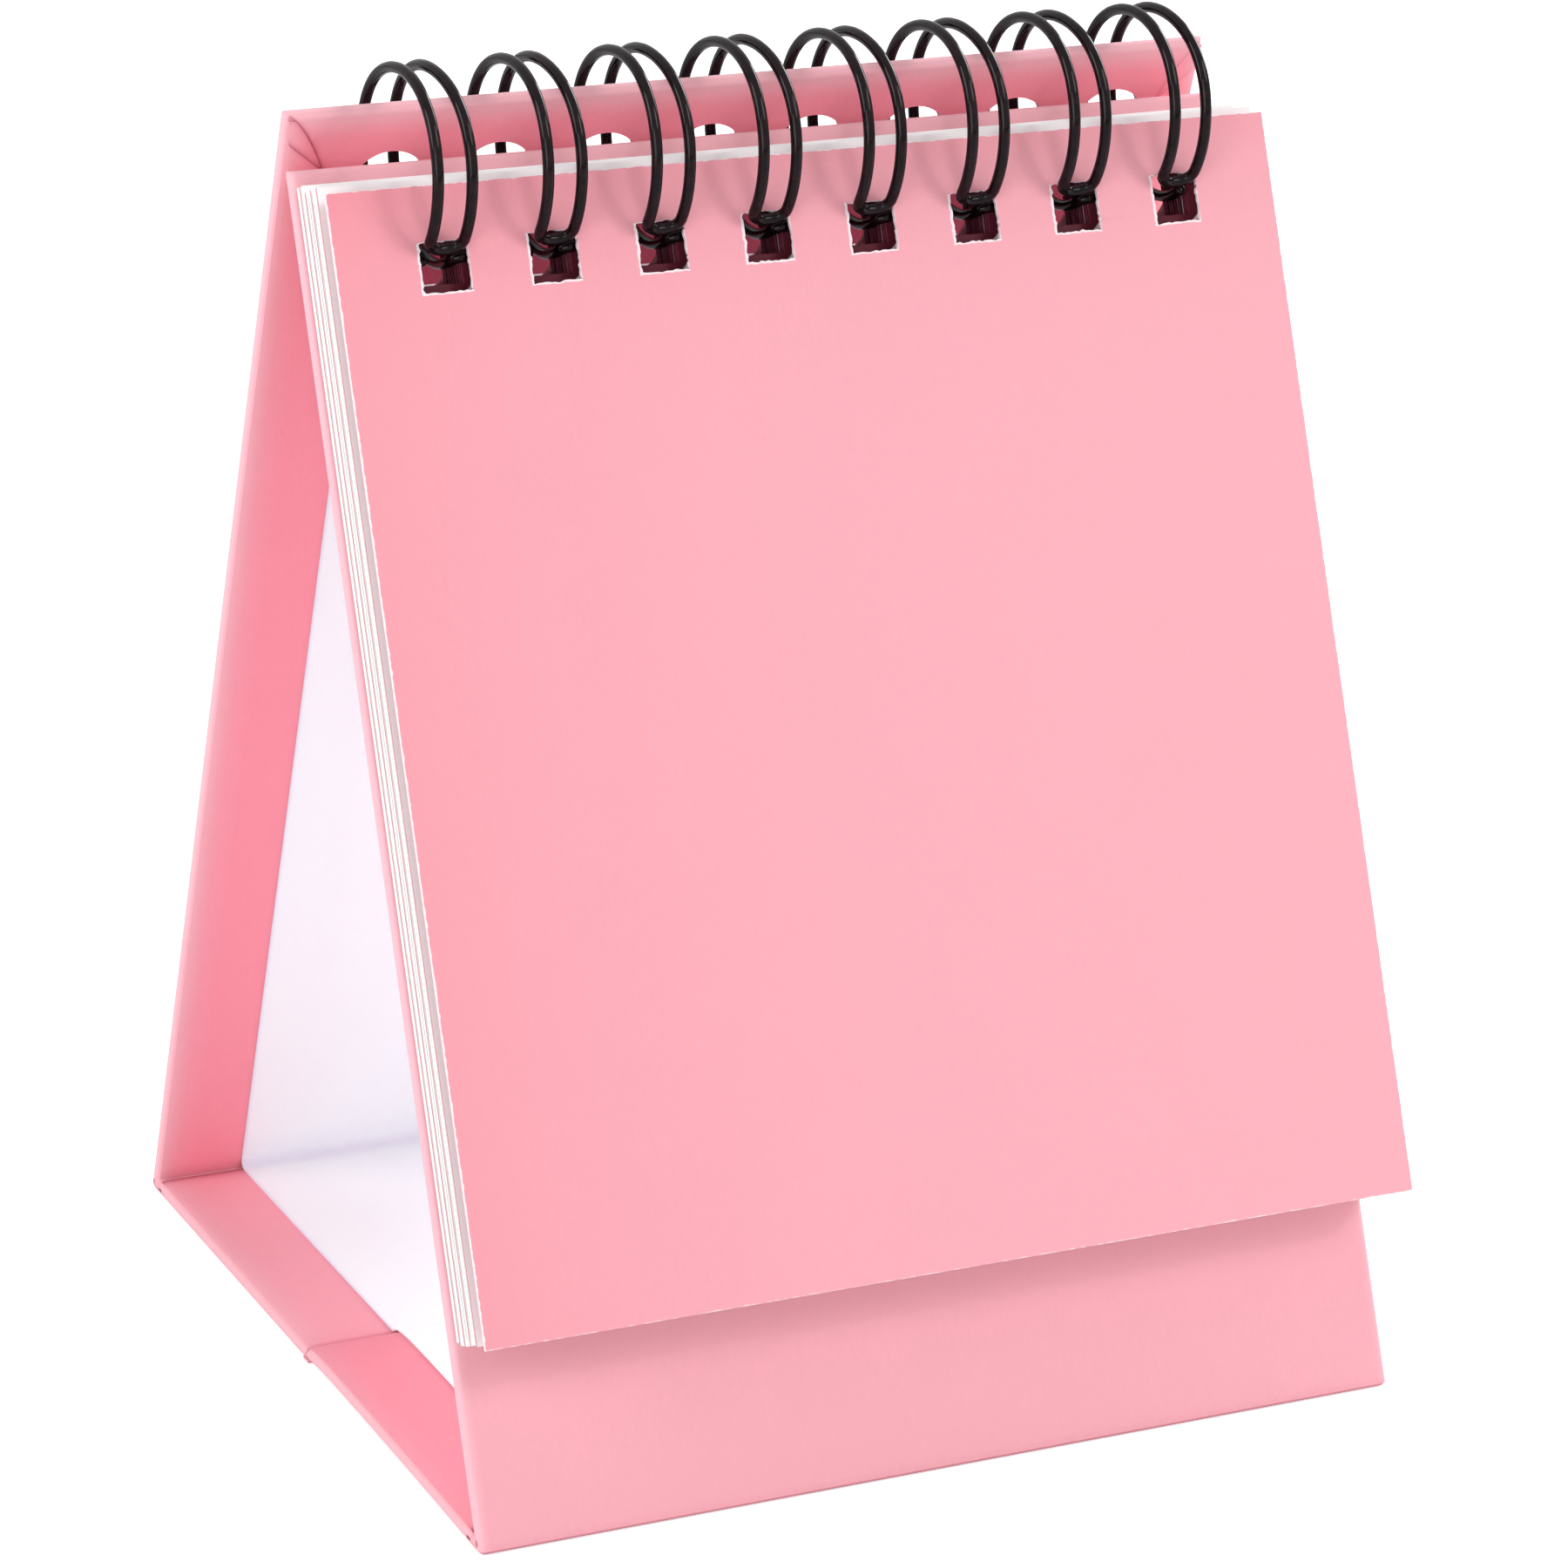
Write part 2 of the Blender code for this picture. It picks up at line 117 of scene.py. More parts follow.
# Widths of the painted shadow lines along a mitred end and under a tuck.
MITRE_LINE = 0.16 * MM
TUCK_LINE = 0.18 * MM
# The share of the painted shadow lines that the right-hand corner gets.
RIGHT_CORNER_SHADE = 0.3


def corners_of(node):
    """All corners of a CAD node at rest, one row each."""
    mesh = frame["nodes"][node].data
    found = np.empty(3 * len(mesh.vertices))
    mesh.vertices.foreach_get("co", found)
    return found.reshape(-1, 3)


def panel_of(node, along_hint, outward_hint):
    """Across, along and outward directions of a flat CAD sheet, from the long way of its side view."""
    side = corners_of(node)[:, 1:]
    side = side - (side.min(0) + side.max(0)) / 2
    long_way = np.linalg.svd(side, full_matrices=False)[2][0]
    along = np.array([0, *long_way]) * math.copysign(1, np.dot(long_way, along_hint))
    outward = np.cross((1, 0, 0), along)
    outward *= math.copysign(1, np.dot(outward[1:], outward_hint))
    return np.array([(1, 0, 0), along, outward])


def reach_of(node, panel):
    """Lowest and highest corner of a CAD node, measured along a panel's three directions."""
    measured = corners_of(node) @ panel.T
    return measured.min(0), measured.max(0)


def wrapped_slab(low, high, end_round, columns, rows):
    """A board in its paper: at each place along it a loop whose sides are half circles as far as its
    thickness allows, and which a quarter circle thins towards the far end. Its columns are closer together
    beside its edges, and its rows at its foot."""
    turn = np.linspace(0, math.pi / 2, 7)
    straight = np.linspace(low[1], high[1] - end_round, rows - 1)[:-1]
    straight = np.sort(np.append(straight, low[1] + FOOT_ROWS))
    s = np.concatenate([straight, high[1] - end_round * (1 - np.sin(turn))])[:, None]
    inset = np.concatenate([np.zeros(rows), end_round * (1 - np.cos(turn))])[:, None]
    bend = np.minimum(EDGE_ROUND, (high[2] - low[2]) / 2 - inset - 0.01 * MM)
    width = high[0] - low[0]
    plain = np.linspace(PLAIN_MARGIN, width - PLAIN_MARGIN, columns)
    inside = np.concatenate([EDGE_COLUMNS, plain, width - EDGE_COLUMNS[::-1]])[None]
    quarter = np.linspace(0, math.pi / 2, 6)[None]
    parts = []
    for start, right, upper in ((3, 1, 0), (0, 1, 1), (1, 0, 1), (2, 0, 0)):
        angle = quarter + start * math.pi / 2
        x = (high[0] - bend if right else low[0] + bend) + bend * np.cos(angle)
        u = (high[2] - inset - bend if upper else low[2] + inset + bend) + bend * np.sin(angle)
        parts.append((x, u))
        if right and upper:
            parts.append((low[0] + inside[:, ::-1] + 0 * bend, high[2] - inset + 0 * inside))
        if not right and not upper:
            parts.append((low[0] + inside + 0 * bend, low[2] + inset + 0 * inside))
    x = np.concatenate([part[0] for part in parts], 1)
    u = np.concatenate([part[1] for part in parts], 1)
    return np.stack([x, s + 0 * x, u], -1)


def tube_faces(rings, around):
    """Quads between neighbouring rings, and one face over each end."""
    ring, place = np.meshgrid(np.arange(rings - 1), np.arange(around), indexing="ij")
    here = ring * around + place
    beside = ring * around + (place + 1) % around
    quads = np.stack([here, beside, beside + around, here + around], -1).reshape(-1, 4)
    ends = [list(range(around))[::-1], list(range((rings - 1) * around, rings * around))]
    return quads.tolist() + ends


def sheet_faces(rows, columns):
    """Quads of an open sheet of rows by columns points."""
    row, column = np.meshgrid(np.arange(rows - 1), np.arange(columns - 1), indexing="ij")
    here = row * columns + column
    return np.stack([here, here + 1, here + columns + 1, here + columns], -1).reshape(-1, 4).tolist()


def make_piece(name, points, faces, looks):
    """A mesh object at the origin, with its place in its points."""
    mesh = bpy.data.meshes.new(name)
    mesh.from_pydata(np.asarray(points).reshape(-1, 3).tolist(), [], faces)
    obj = bpy.data.objects.new(name, mesh)
    bpy.context.scene.collection.objects.link(obj)
    for look in looks:
        mesh.materials.append(look)
    return obj


def settle(obj):
    """Applies a piece's modifiers, turns its faces outwards and smooths all but its sharp folds."""
    graph = bpy.context.evaluated_depsgraph_get()
    mesh = bpy.data.meshes.new_from_object(obj.evaluated_get(graph), depsgraph=graph)
    obj.modifiers.clear()
    obj.data = mesh
    shell = bmesh.new()
    shell.from_mesh(mesh)
    bmesh.ops.recalc_face_normals(shell, faces=shell.faces)
    shell.to_mesh(mesh)
    shell.free()
    mesh.shade_smooth()
    mesh.set_sharp_from_angle(angle=math.radians(40))
    return obj


def thicken(obj, thickness):
    """Gives a sheet its thickness, half to each side."""
    wall = obj.modifiers.new("thickness", "SOLIDIFY")
    wall.thickness = thickness
    wall.offset = 0
    return obj


def thin_piece(name, points, look, thickness):
    """A sheet of rows by columns points, with its thickness."""
    return thicken(make_piece(name, points, sheet_faces(*points.shape[:2]), [look]), thickness)


def new_group(name, inputs, outputs):
    """An empty shader node group with named sockets."""
    group = bpy.data.node_groups.new(name, "ShaderNodeTree")
    for socket, kind, value in inputs:
        made = group.interface.new_socket(socket, in_out="INPUT", socket_type=kind)
        made.default_value = value
    for socket, kind in outputs:
        group.interface.new_socket(socket, in_out="OUTPUT", socket_type=kind)
    return group, group.nodes.new("NodeGroupInput"), group.nodes.new("NodeGroupOutput")


def add_node(tree, kind, **values):
    """A node with its settings. A value for an input is named in_ and the input's name or number."""
    node = tree.nodes.new(kind)
    for key, value in values.items():
        if key.startswith("in_"):
            socket = key[3:].replace("_", " ")
            node.inputs[int(socket) if socket.isdigit() else socket].default_value = value
        else:
            setattr(node, key, value)
    return node


def paper_fibre():
    """Paper: clouds a few millimetres wide, fibres of a third of a millimetre and a fine tooth."""
    group, given, result = new_group(
        "paper_fibre",
        [
            ("Colour", "NodeSocketColor", (1, 1, 1, 1)),
            ("Cloud", "NodeSocketFloat", 0.03),
            ("Fibre", "NodeSocketFloat", 0.02),
        ],
        [("Colour", "NodeSocketColor"), ("Height", "NodeSocketFloat"), ("Roughness", "NodeSocketFloat")],
    )
    link = group.links.new
    place = add_node(group, "ShaderNodeTexCoord")
    stretch = add_node(group, "ShaderNodeMapping", in_Scale=(1.0, 0.35, 0.35))
    cloud = add_node(group, "ShaderNodeTexNoise", in_Scale=140.0, in_Detail=3.0, in_Roughness=0.55)
    fibre = add_node(group, "ShaderNodeTexNoise", in_Scale=3000.0, in_Detail=4.0, in_Roughness=0.6)
    tooth = add_node(group, "ShaderNodeTexNoise", in_Scale=9000.0, in_Detail=2.0)
    link(place.outputs["Object"], cloud.inputs["Vector"])
    link(place.outputs["Object"], stretch.inputs["Vector"])
    link(stretch.outputs["Vector"], fibre.inputs["Vector"])
    link(place.outputs["Object"], tooth.inputs["Vector"])

    def around_one(noise, amount):
        """One plus the noise's swing about its middle, times an amount."""
        centred = add_node(group, "ShaderNodeMath", operation="SUBTRACT", in_1=0.5)
        swing = add_node(group, "ShaderNodeMath", operation="MULTIPLY_ADD", in_2=1.0)
        link(noise.outputs["Fac"], centred.inputs[0])
        link(centred.outputs[0], swing.inputs[0])
        link(given.outputs[amount], swing.inputs[1])
        return swing

    shade = add_node(group, "ShaderNodeMath", operation="MULTIPLY")
    link(around_one(cloud, "Cloud").outputs[0], shade.inputs[0])
    link(around_one(fibre, "Fibre").outputs[0], shade.inputs[1])
    tint = add_node(group, "ShaderNodeVectorMath", operation="SCALE")
    link(given.outputs["Colour"], tint.inputs[0])
    link(shade.outputs[0], tint.inputs["Scale"])
    height = add_node(group, "ShaderNodeMath", operation="ADD")
    link(fibre.outputs["Fac"], height.inputs[0])
    link(tooth.outputs["Fac"], height.inputs[1])
    rough = add_node(group, "ShaderNodeMapRange", in_To_Min=0.55, in_To_Max=0.75)
    link(cloud.outputs["Fac"], rough.inputs["Value"])
    link(tint.outputs[0], result.inputs["Colour"])
    link(height.outputs[0], result.inputs["Height"])
    link(rough.outputs[0], result.inputs["Roughness"])
    return group


PAPER_FIBRE = paper_fibre()


def paper(name, colour, cloud, fibre, bump, wear_and_painted_light=()):
    """A paper finish. Each patch, of wear or of painted light and shade, is a piece's attribute, the colour
    that shows there, how much noise breaks it up, and the values between which it comes in."""
    made = bpy.data.materials.new(name)
    made.use_nodes = True
    tree = made.node_tree
    link = tree.links.new
    shader = tree.nodes["Principled BSDF"]
    shader.inputs["Specular IOR Level"].default_value = 0.3
    shader.inputs["Sheen Weight"].default_value = 0.06
    grain = add_node(tree, "ShaderNodeGroup", node_tree=PAPER_FIBRE)
    grain.inputs["Cloud"].default_value = cloud
    grain.inputs["Fibre"].default_value = fibre
    grain.inputs["Colour"].default_value = (*colour, 1)
    below = None
    for attribute, patch, ragged, none_at, full_at in wear_and_painted_light:
        place = add_node(tree, "ShaderNodeTexCoord")
        near = add_node(tree, "ShaderNodeAttribute", attribute_name=attribute)
        noise = add_node(tree, "ShaderNodeTexNoise", in_Scale=1700.0, in_Detail=4.0)
        uneven = add_node(tree, "ShaderNodeMath", operation="MULTIPLY_ADD", in_1=ragged)
        amount = add_node(tree, "ShaderNodeMapRange")
        amount.inputs["From Min"].default_value = none_at + ragged / 2
        amount.inputs["From Max"].default_value = full_at + ragged / 2
        present = add_node(tree, "ShaderNodeMath", operation="GREATER_THAN", in_1=0.001)
        shown = add_node(tree, "ShaderNodeMath", operation="MULTIPLY")
        mixed = add_node(tree, "ShaderNodeMix", data_type="RGBA")
        mixed.inputs["A"].default_value = (*colour, 1)
        mixed.inputs["B"].default_value = (*patch, 1)
        link(place.outputs["Object"], noise.inputs["Vector"])
        link(noise.outputs["Fac"], uneven.inputs[0])
        link(near.outputs["Fac"], uneven.inputs[2])
        link(uneven.outputs[0], amount.inputs["Value"])
        link(near.outputs["Fac"], present.inputs[0])
        link(amount.outputs[0], shown.inputs[0])
        link(present.outputs[0], shown.inputs[1])
        link(shown.outputs[0], mixed.inputs["Factor"])
        if below:
            link(below.outputs["Result"], mixed.inputs["A"])
        below = mixed
    if below:
        link(below.outputs["Result"], grain.inputs["Colour"])
    rise = add_node(tree, "ShaderNodeBump", in_Strength=bump, in_Distance=0.00003)
    link(grain.outputs["Height"], rise.inputs["Height"])
    link(grain.outputs["Colour"], shader.inputs["Base Color"])
    link(grain.outputs["Roughness"], shader.inputs["Roughness"])
    link(rise.outputs["Normal"], shader.inputs["Normal"])
    return made


def cut_board():
    """The punched wall of a board, by its depth attribute: specked grey pulp between two pink papers."""
    made = bpy.data.materials.new("board_cut")
    made.use_nodes = True
    tree = made.node_tree
    link = tree.links.new
    shader = tree.nodes["Principled BSDF"]
    shader.inputs["Roughness"].default_value = 0.9
    depth = add_node(tree, "ShaderNodeAttribute", attribute_name="depth")
    layers = add_node(tree, "ShaderNodeValToRGB")
    layers.color_ramp.interpolation = "CONSTANT"
    layers.color_ramp.elements[0].color = (*TURN_IN_SHADED_PINK, 1)
    layers.color_ramp.elements[1].position = 0.18
    layers.color_ramp.elements[1].color = (*GREY_PULP, 1)
    layers.color_ramp.elements.new(0.82).color = (*TURN_IN_SHADED_PINK, 1)
    place = add_node(tree, "ShaderNodeTexCoord")
    speck = add_node(tree, "ShaderNodeTexNoise", in_Scale=4000.0, in_Detail=3.0)
    dim = add_node(tree, "ShaderNodeMapRange", in_To_Min=0.6, in_To_Max=1.25)
    tint = add_node(tree, "ShaderNodeVectorMath", operation="SCALE")
    link(depth.outputs["Fac"], layers.inputs["Fac"])
    link(place.outputs["Object"], speck.inputs["Vector"])
    link(speck.outputs["Fac"], dim.inputs["Value"])
    link(layers.outputs["Color"], tint.inputs[0])
    link(dim.outputs[0], tint.inputs["Scale"])
    link(tint.outputs[0], shader.inputs["Base Color"])
    return made


# Patches on the pink papers: paler along edges, partly as painted light, and deep maroon where shade is
# painted.
PAPER_WEAR_AND_PAINTED_LIGHT = [("rub_and_painted_light", RUBBED_AND_LIT_PINK, 0.2, 0.0, 1.1), ("painted_shade", PAINTED_SHADE_MAROON, 0.1, 0.0, 1.0)]
wrap_paper = paper("wrap_paper", WRAP_PINK, 0.05, 0.05, 0.25, PAPER_WEAR_AND_PAINTED_LIGHT)
turn_in_paper = paper("turn_in_paper", TURN_IN_SHADED_PINK, 0.05, 0.05, 0.25, PAPER_WEAR_AND_PAINTED_LIGHT)
board_cut = cut_board()
COMB_X = (corners_of("cover")[:, 0].min() + corners_of("cover")[:, 0].max()) / 2
HOLE_XS = COMB_X + (np.arange(LOOPS) - (LOOPS - 1) / 2) * LOOP_PITCH


def set_attribute(obj, name, values):
    """Stores one number at each of a piece's points, for its material."""
    attribute = obj.data.attributes.new(name, "FLOAT", "POINT")
    attribute.data.foreach_set("value", np.asarray(values, np.float32))


def points_of(obj, panel):
    """A piece's points, measured along a panel's directions."""
    found = np.empty(3 * len(obj.data.vertices))
    obj.data.vertices.foreach_get("co", found)
    return found.reshape(-1, 3) @ panel.T


def faces_of(obj, panel):
    """The middles and normals of a piece's faces, measured along a panel's directions."""
    middles = np.empty(3 * len(obj.data.polygons))
    normals = np.empty(3 * len(obj.data.polygons))
    obj.data.polygons.foreach_get("center", middles)
    obj.data.polygons.foreach_get("normal", normals)
    return middles.reshape(-1, 3) @ panel.T, normals.reshape(-1, 3) @ panel.T


def punch_out(obj, panel, low, high):
    """Cuts the row of round holes through one piece of a leaning board, by eight cylinders."""
    turn = np.linspace(0, 2 * math.pi, 49)[:-1]
    x = HOLE_XS[:, None, None] + BOARD_HOLE_RADIUS * np.cos(turn) + np.zeros((1, 2, 1))
    s = high[1] - BOARD_HOLE_BELOW_TOP + BOARD_HOLE_RADIUS * np.sin(turn) + 0 * x
    u = np.array([low[2] - 2 * MM, high[2] + 2 * MM])[None, :, None] + 0 * x
    one = tube_faces(2, len(turn))
    corners = 2 * len(turn)
    faces = [[corner + corners * number for corner in face] for number in range(LOOPS) for face in one]
    tool = make_piece("punch", np.stack([x, s, u], -1) @ panel, faces, [board_cut])
    settle(tool)
    cut = obj.modifiers.new("punch", "BOOLEAN")
    cut.object = tool
    cut.solver = "EXACT"
    settle(obj)
    bpy.data.objects.remove(tool)
    return obj


def side_flap(low, edge, inwards, start, end, width, rows, end_round=0.0):
    """A side turn-in: flat on the board, sinking by a bell curve where it runs into the rounded edge, and
    following the board's rounded end, if that has a radius. Its rows are closer together at both ends."""
    across = np.concatenate([np.linspace(0.25, 0.8, 4) * MM, np.linspace(1.5 * MM, width, 8)])
    along = end - (end - start) * np.linspace(1, 0, rows) ** 1.6
    along = np.sort(np.append(along, start + FLAP_FOOT_ROWS))
    s, a = np.meshgrid(along, across, indexing="ij")
    sink = 0.5 * FLAP * np.exp(-(((a - FLAP_EDGE) / FLAP_EDGE) ** 2))
    past_round = np.clip(end_round - (end + FLAP_SHORT_OF_MID - s), 0, None)
    roll = end_round - np.sqrt(end_round**2 - past_round**2)
    return np.stack([edge + inwards * a, s, low[2] + FLAP / 2 + sink + roll], -1)


def mitre_at(depth):
    """How far the top turn-in's slanted end has run in at a depth below the top: its 0.6th power."""
    return MITRE_REACH * (np.clip(depth, 0, None) / MITRE_DEPTH) ** 0.6


def top_flap(low, high, curl_height):
    """The top turn-in. Its mitred ends start at the corners and run in as the 0.6th power of the depth. They
    curl off the board by a roll that fades away from the end. Its top edge follows the rounded board."""
    depth = np.concatenate([np.linspace(0.10, 0.7, 7) * MM, np.linspace(1.1 * MM, TOP_FLAP_LENGTH, 34)])
    t = np.linspace(0, 1, 201)
    share = 0.5 * t + 0.25 * (1 - np.cos(math.pi * t))
    d, k = np.meshgrid(depth, share, indexing="ij")
    mitre = mitre_at(d)
    x = low[0] + mitre + (high[0] - low[0] - 2 * mitre) * k
    from_end = np.minimum(x - low[0], high[0] - x) - mitre
    curl = curl_height * np.exp(-from_end / CURL_ROLL) * np.exp(-(((d - CURL_CENTRE) / CURL_REACH) ** 2))
    over_edge = np.clip(EDGE_ROUND - d, 0, None)
    roll = EDGE_ROUND - np.sqrt(EDGE_ROUND**2 - over_edge**2)
    return np.stack([x, high[1] - d, low[2] + TOP_FLAP_SINK - curl + EDGE_FOLLOW * roll], -1)


def corner_tuck(low, high, edge, inwards, curl_height):
    """The triangle of paper folded in at a top corner: a sheet between three points, raised along its lower
    edge."""
    a, b = np.meshgrid(np.linspace(0, 1, 14), np.linspace(0, 1, 12), indexing="ij")
    from_corner = TUCK_START + (TUCK_HEEL - TUCK_START) * b[..., None]
    place = from_corner + (TUCK_TIP - from_corner) * a[..., None]
    rise = curl_height * b**2 * (1 - 0.5 * a) * np.clip(a * 6, 0, 1)
    u = low[2] + TUCK_SINK - rise
    return np.stack([edge + inwards * place[..., 0], high[1] - place[..., 1], u], -1)


def tuck_shade(place, high, edge):
    """Painted shadow along the tuck's raised lower edge, darker by the distance from the line that runs from
    heel to tip.
    """
    x = np.abs(place[:, 0] - edge) - TUCK_HEEL[0]
    d = high[1] - place[:, 1] - TUCK_HEEL[1]
    run = TUCK_TIP - TUCK_HEEL
    off_line = np.abs(run[0] * d - run[1] * x) / np.hypot(run[0], run[1])
    return 0.9 * np.exp(-off_line / TUCK_LINE)


def foot_of(panel, high):
    """How far along the panel its outer face meets the table."""
    return -high[2] * panel[2][2] / panel[1][2]


def leaning_board(prefix, panel, curl_height):
    """One wrapped board: its slab, turn-ins and tucked corners, whose folds stand off by the curl height."""
    low, high = reach_of(f"{prefix}_wrap", panel)
    slab_low = low + (0, 0, FLAP)
    rings = wrapped_slab(slab_low, high, EDGE_ROUND, 10, 14)
    lean = panel[2][2] / panel[1][2]
    rings[0, :, 1] = TABLE_CLEARANCE / panel[1][2] - (rings[0, :, 2] - high[2]) * lean + foot_of(panel, high)
    obj = make_piece(f"{prefix}_panel", rings @ panel, tube_faces(*rings.shape[:2]), [wrap_paper, board_cut])
    punch_out(settle(obj), panel, low, high)
    place = points_of(obj, panel)
    set_attribute(obj, "depth", (high[2] - place[:, 2]) / (high[2] - slab_low[2]))
    to_edge = np.minimum(np.minimum(place[:, 0] - low[0], high[0] - place[:, 0]), high[1] - place[:, 1])
    set_attribute(obj, "rub_and_painted_light", np.clip(1 - to_edge / EDGE_PALE_REACH, 0, 1))
    # Painted contact shadow: darker at the board's foot, where it meets the table.
    set_attribute(obj, "painted_shade", 0.8 * np.exp(-(place[:, 1] - foot_of(panel, high)) / FOOT_SHADE_REACH))
    middles, normals = faces_of(obj, panel)
    beside = np.abs(middles[:, :1] - HOLE_XS).min(1)
    in_hole = np.hypot(beside, middles[:, 1] - high[1] + BOARD_HOLE_BELOW_TOP) < BOARD_HOLE_RADIUS + 0.05 * MM
    cut_wall = in_hole & (np.abs(normals[:, 2]) < 0.5)
    obj.data.polygons.foreach_set("material_index", cut_wall.astype(np.int32))
    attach(obj, prefix)
    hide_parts(f"{prefix}_wrap", f"{prefix}_board")
    for word, edge, inwards, painted_shade_level in (("left", low[0], 1, 1.0), ("right", high[0], -1, RIGHT_CORNER_SHADE)):
        start, end = low[1] + FLAP_START, high[1] - FLAP_SHORT_OF_TOP
        flap = side_flap(low, edge, inwards, start, end, FLAP_WIDTH, 40)
        flap = thin_piece(f"{prefix}_turn_in_{word}", flap @ panel, turn_in_paper, 0.8 * FLAP)
        tuck = corner_tuck(low, high, edge, inwards, curl_height)
        tuck = thin_piece(f"{prefix}_tuck_{word}", tuck @ panel, turn_in_paper, 0.5 * FLAP)
        punch_out(settle(flap), panel, low, high)
        settle(tuck)
        for piece in (flap, tuck):
            place = points_of(piece, panel)
            from_side = np.abs(place[:, 0] - edge)
            # Painted light: paler near the board's side edge.
            set_attribute(piece, "rub_and_painted_light", np.clip(1 - from_side / FLAP_LIGHT_REACH, 0, 1) ** 1.5)
            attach(piece, prefix)
        # Painted shade: darker at the flap's foot, in the inner corner of the fold.
        at_foot = np.exp(-(points_of(flap, panel)[:, 1] - start) / FLAP_FOOT_SHADE_REACH)
        set_attribute(flap, "painted_shade", np.clip(0.95 * at_foot, 0, 1))
        set_attribute(tuck, "painted_shade", painted_shade_level * tuck_shade(points_of(tuck, panel), high, edge))
    flap = top_flap(low, high, curl_height)
    flap = thin_piece(f"{prefix}_turn_in_top", flap @ panel, turn_in_paper, 0.8 * FLAP)
    punch_out(settle(flap), panel, low, high)
    place = points_of(flap, panel)
    from_top = high[1] - place[:, 1]
    from_end = np.minimum(place[:, 0] - low[0], high[0] - place[:, 0]) - mitre_at(from_top)
    # Painted light: paler near the top edge.
    set_attribute(flap, "rub_and_painted_light", np.clip(1 - from_top / TOP_FLAP_LIGHT_REACH, 0, 1))
    # Painted shade: deeper from a millimetre down the top turn-in and darkest below the holes, with a painted
    # shadow line along each mitred end.
    lower_down = np.interp(from_top, TOP_FLAP_SHADE_AT, TOP_FLAP_SHADE)
    painted_shade_level = np.where(place[:, 0] > (low[0] + high[0]) / 2, RIGHT_CORNER_SHADE, 1)
    set_attribute(flap, "painted_shade", np.clip(lower_down + painted_shade_level * np.exp(-np.abs(from_end) / MITRE_LINE), 0, 1))
    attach(flap, prefix)


front = panel_of("front_liner", (0.4, 1), (-1, 0.4))
back = panel_of("back_liner", (-0.4, 1), (1, 0.4))
leaning_board("front", front, 0.0)
leaning_board("back", back, BACK_CURL)

# Base halves
# The same cover paper runs on under the base, round two boards that meet at the middle crease.
# The front half has taken a bow: it springs up from the crease and comes back to the table in front.
BOW_HEIGHT = 0.34 * MM
BOW_START = 1.7 * MM
BOW_AT_RIGHT = 0.35
TURN_IN_REAR_HALF = 7.1 * MM
TURN_IN_FRONT_HALF = 7.5 * MM
UNDER_LINER = 4 * MM
MID_ROUND = 0.45 * MM
MID_LAP = 0.52 * MM
UNDERSIDE_SHADE_REACH = 0.15 * MM
BASE_SIDE_SHADE_REACH = 0.25 * MM
MID_SHADE = 1.6 * MM
base_front = np.array([(1, 0, 0), (0, 1, 0), (0, 0, -1)], float)
base_rear = np.array([(1, 0, 0), (0, -1, 0), (0, 0, -1)], float)
front_half_length = -corners_of("base_front_wrap")[:, 1].min()
low_x = corners_of("base_front_wrap")[:, 0].min()
high_x = corners_of("base_front_wrap")[:, 0].max()


def bowed(points):
    """Lifts places in front of the middle crease, less to the right: a quick rise, then a fall that
    goes as the distance to the power 2.5."""
    ahead = np.clip(-points[..., 1], 0, front_half_length)
    share = (high_x - points[..., 0]) / (high_x - low_x)
    lift = (1 - np.exp(-ahead / BOW_START)) * (1 - (ahead / front_half_length) ** 2.5)
    lifted = points.copy()
    lifted[..., 2] += BOW_HEIGHT * lift * (BOW_AT_RIGHT + (1 - BOW_AT_RIGHT) * share)
    return lifted


def base_half(prefix, panel, turn_in, shape, painted_light, painted_shade_level):
    """One half of the base: a wrapped slab with its two side turn-ins, which get a level of painted light and
    of painted shade.
    """
    low, high = reach_of(f"{prefix}_wrap", panel)
    high = high + (0, MID_LAP, 0)
    slab_low = low + (0, 0, FLAP)
    rings = wrapped_slab(slab_low, high, MID_ROUND, 24, 60)
    obj = make_piece(f"{prefix}_panel", shape(rings @ panel), tube_faces(*rings.shape[:2]), [wrap_paper])
    place = points_of(settle(obj), panel)
    to_side = np.minimum(place[:, 0] - low[0], high[0] - place[:, 0])
    set_attribute(obj, "rub_and_painted_light", np.clip(1 - to_side / EDGE_PALE_REACH, 0, 1))
    # Painted shade along the base's lower side edges, by the table.
    under = (high[2] - place[:, 2]) / UNDERSIDE_SHADE_REACH
    set_attribute(obj, "painted_shade", 0.6 * np.exp(-under - to_side / BASE_SIDE_SHADE_REACH))
    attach(obj, prefix)
    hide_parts(f"{prefix}_wrap", f"{prefix}_board")
    for word, edge, inwards in (("left", low[0], 1), ("right", high[0], -1)):
        start, end = low[1] + FLAP_START, high[1] - FLAP_SHORT_OF_MID
        flap = side_flap(low, edge, inwards, start, end, turn_in + UNDER_LINER, 70, MID_ROUND)
        flap = thin_piece(f"{prefix}_turn_in_{word}", shape(flap @ panel), turn_in_paper, 0.8 * FLAP)
        settle(flap)
        place = points_of(flap, panel)
        from_side = np.abs(place[:, 0] - edge)
        set_attribute(flap, "rub_and_painted_light", painted_light + 0.5 * np.clip(1 - from_side / FLAP_LIGHT_REACH, 0, 1) ** 1.5)
        # Painted shade in the fold at the turn-in's foot and towards the middle crease.
        at_fold = np.exp(-(place[:, 1] - start) / FLAP_FOOT_SHADE_REACH)
        at_middle = 0.12 * np.exp(-(end - place[:, 1]) / MID_SHADE)
        set_attribute(flap, "painted_shade", np.clip(at_fold + at_middle + painted_shade_level, 0, 1))
        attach(flap, prefix)


def level(points):
    """The rear half lies flat."""
    return points


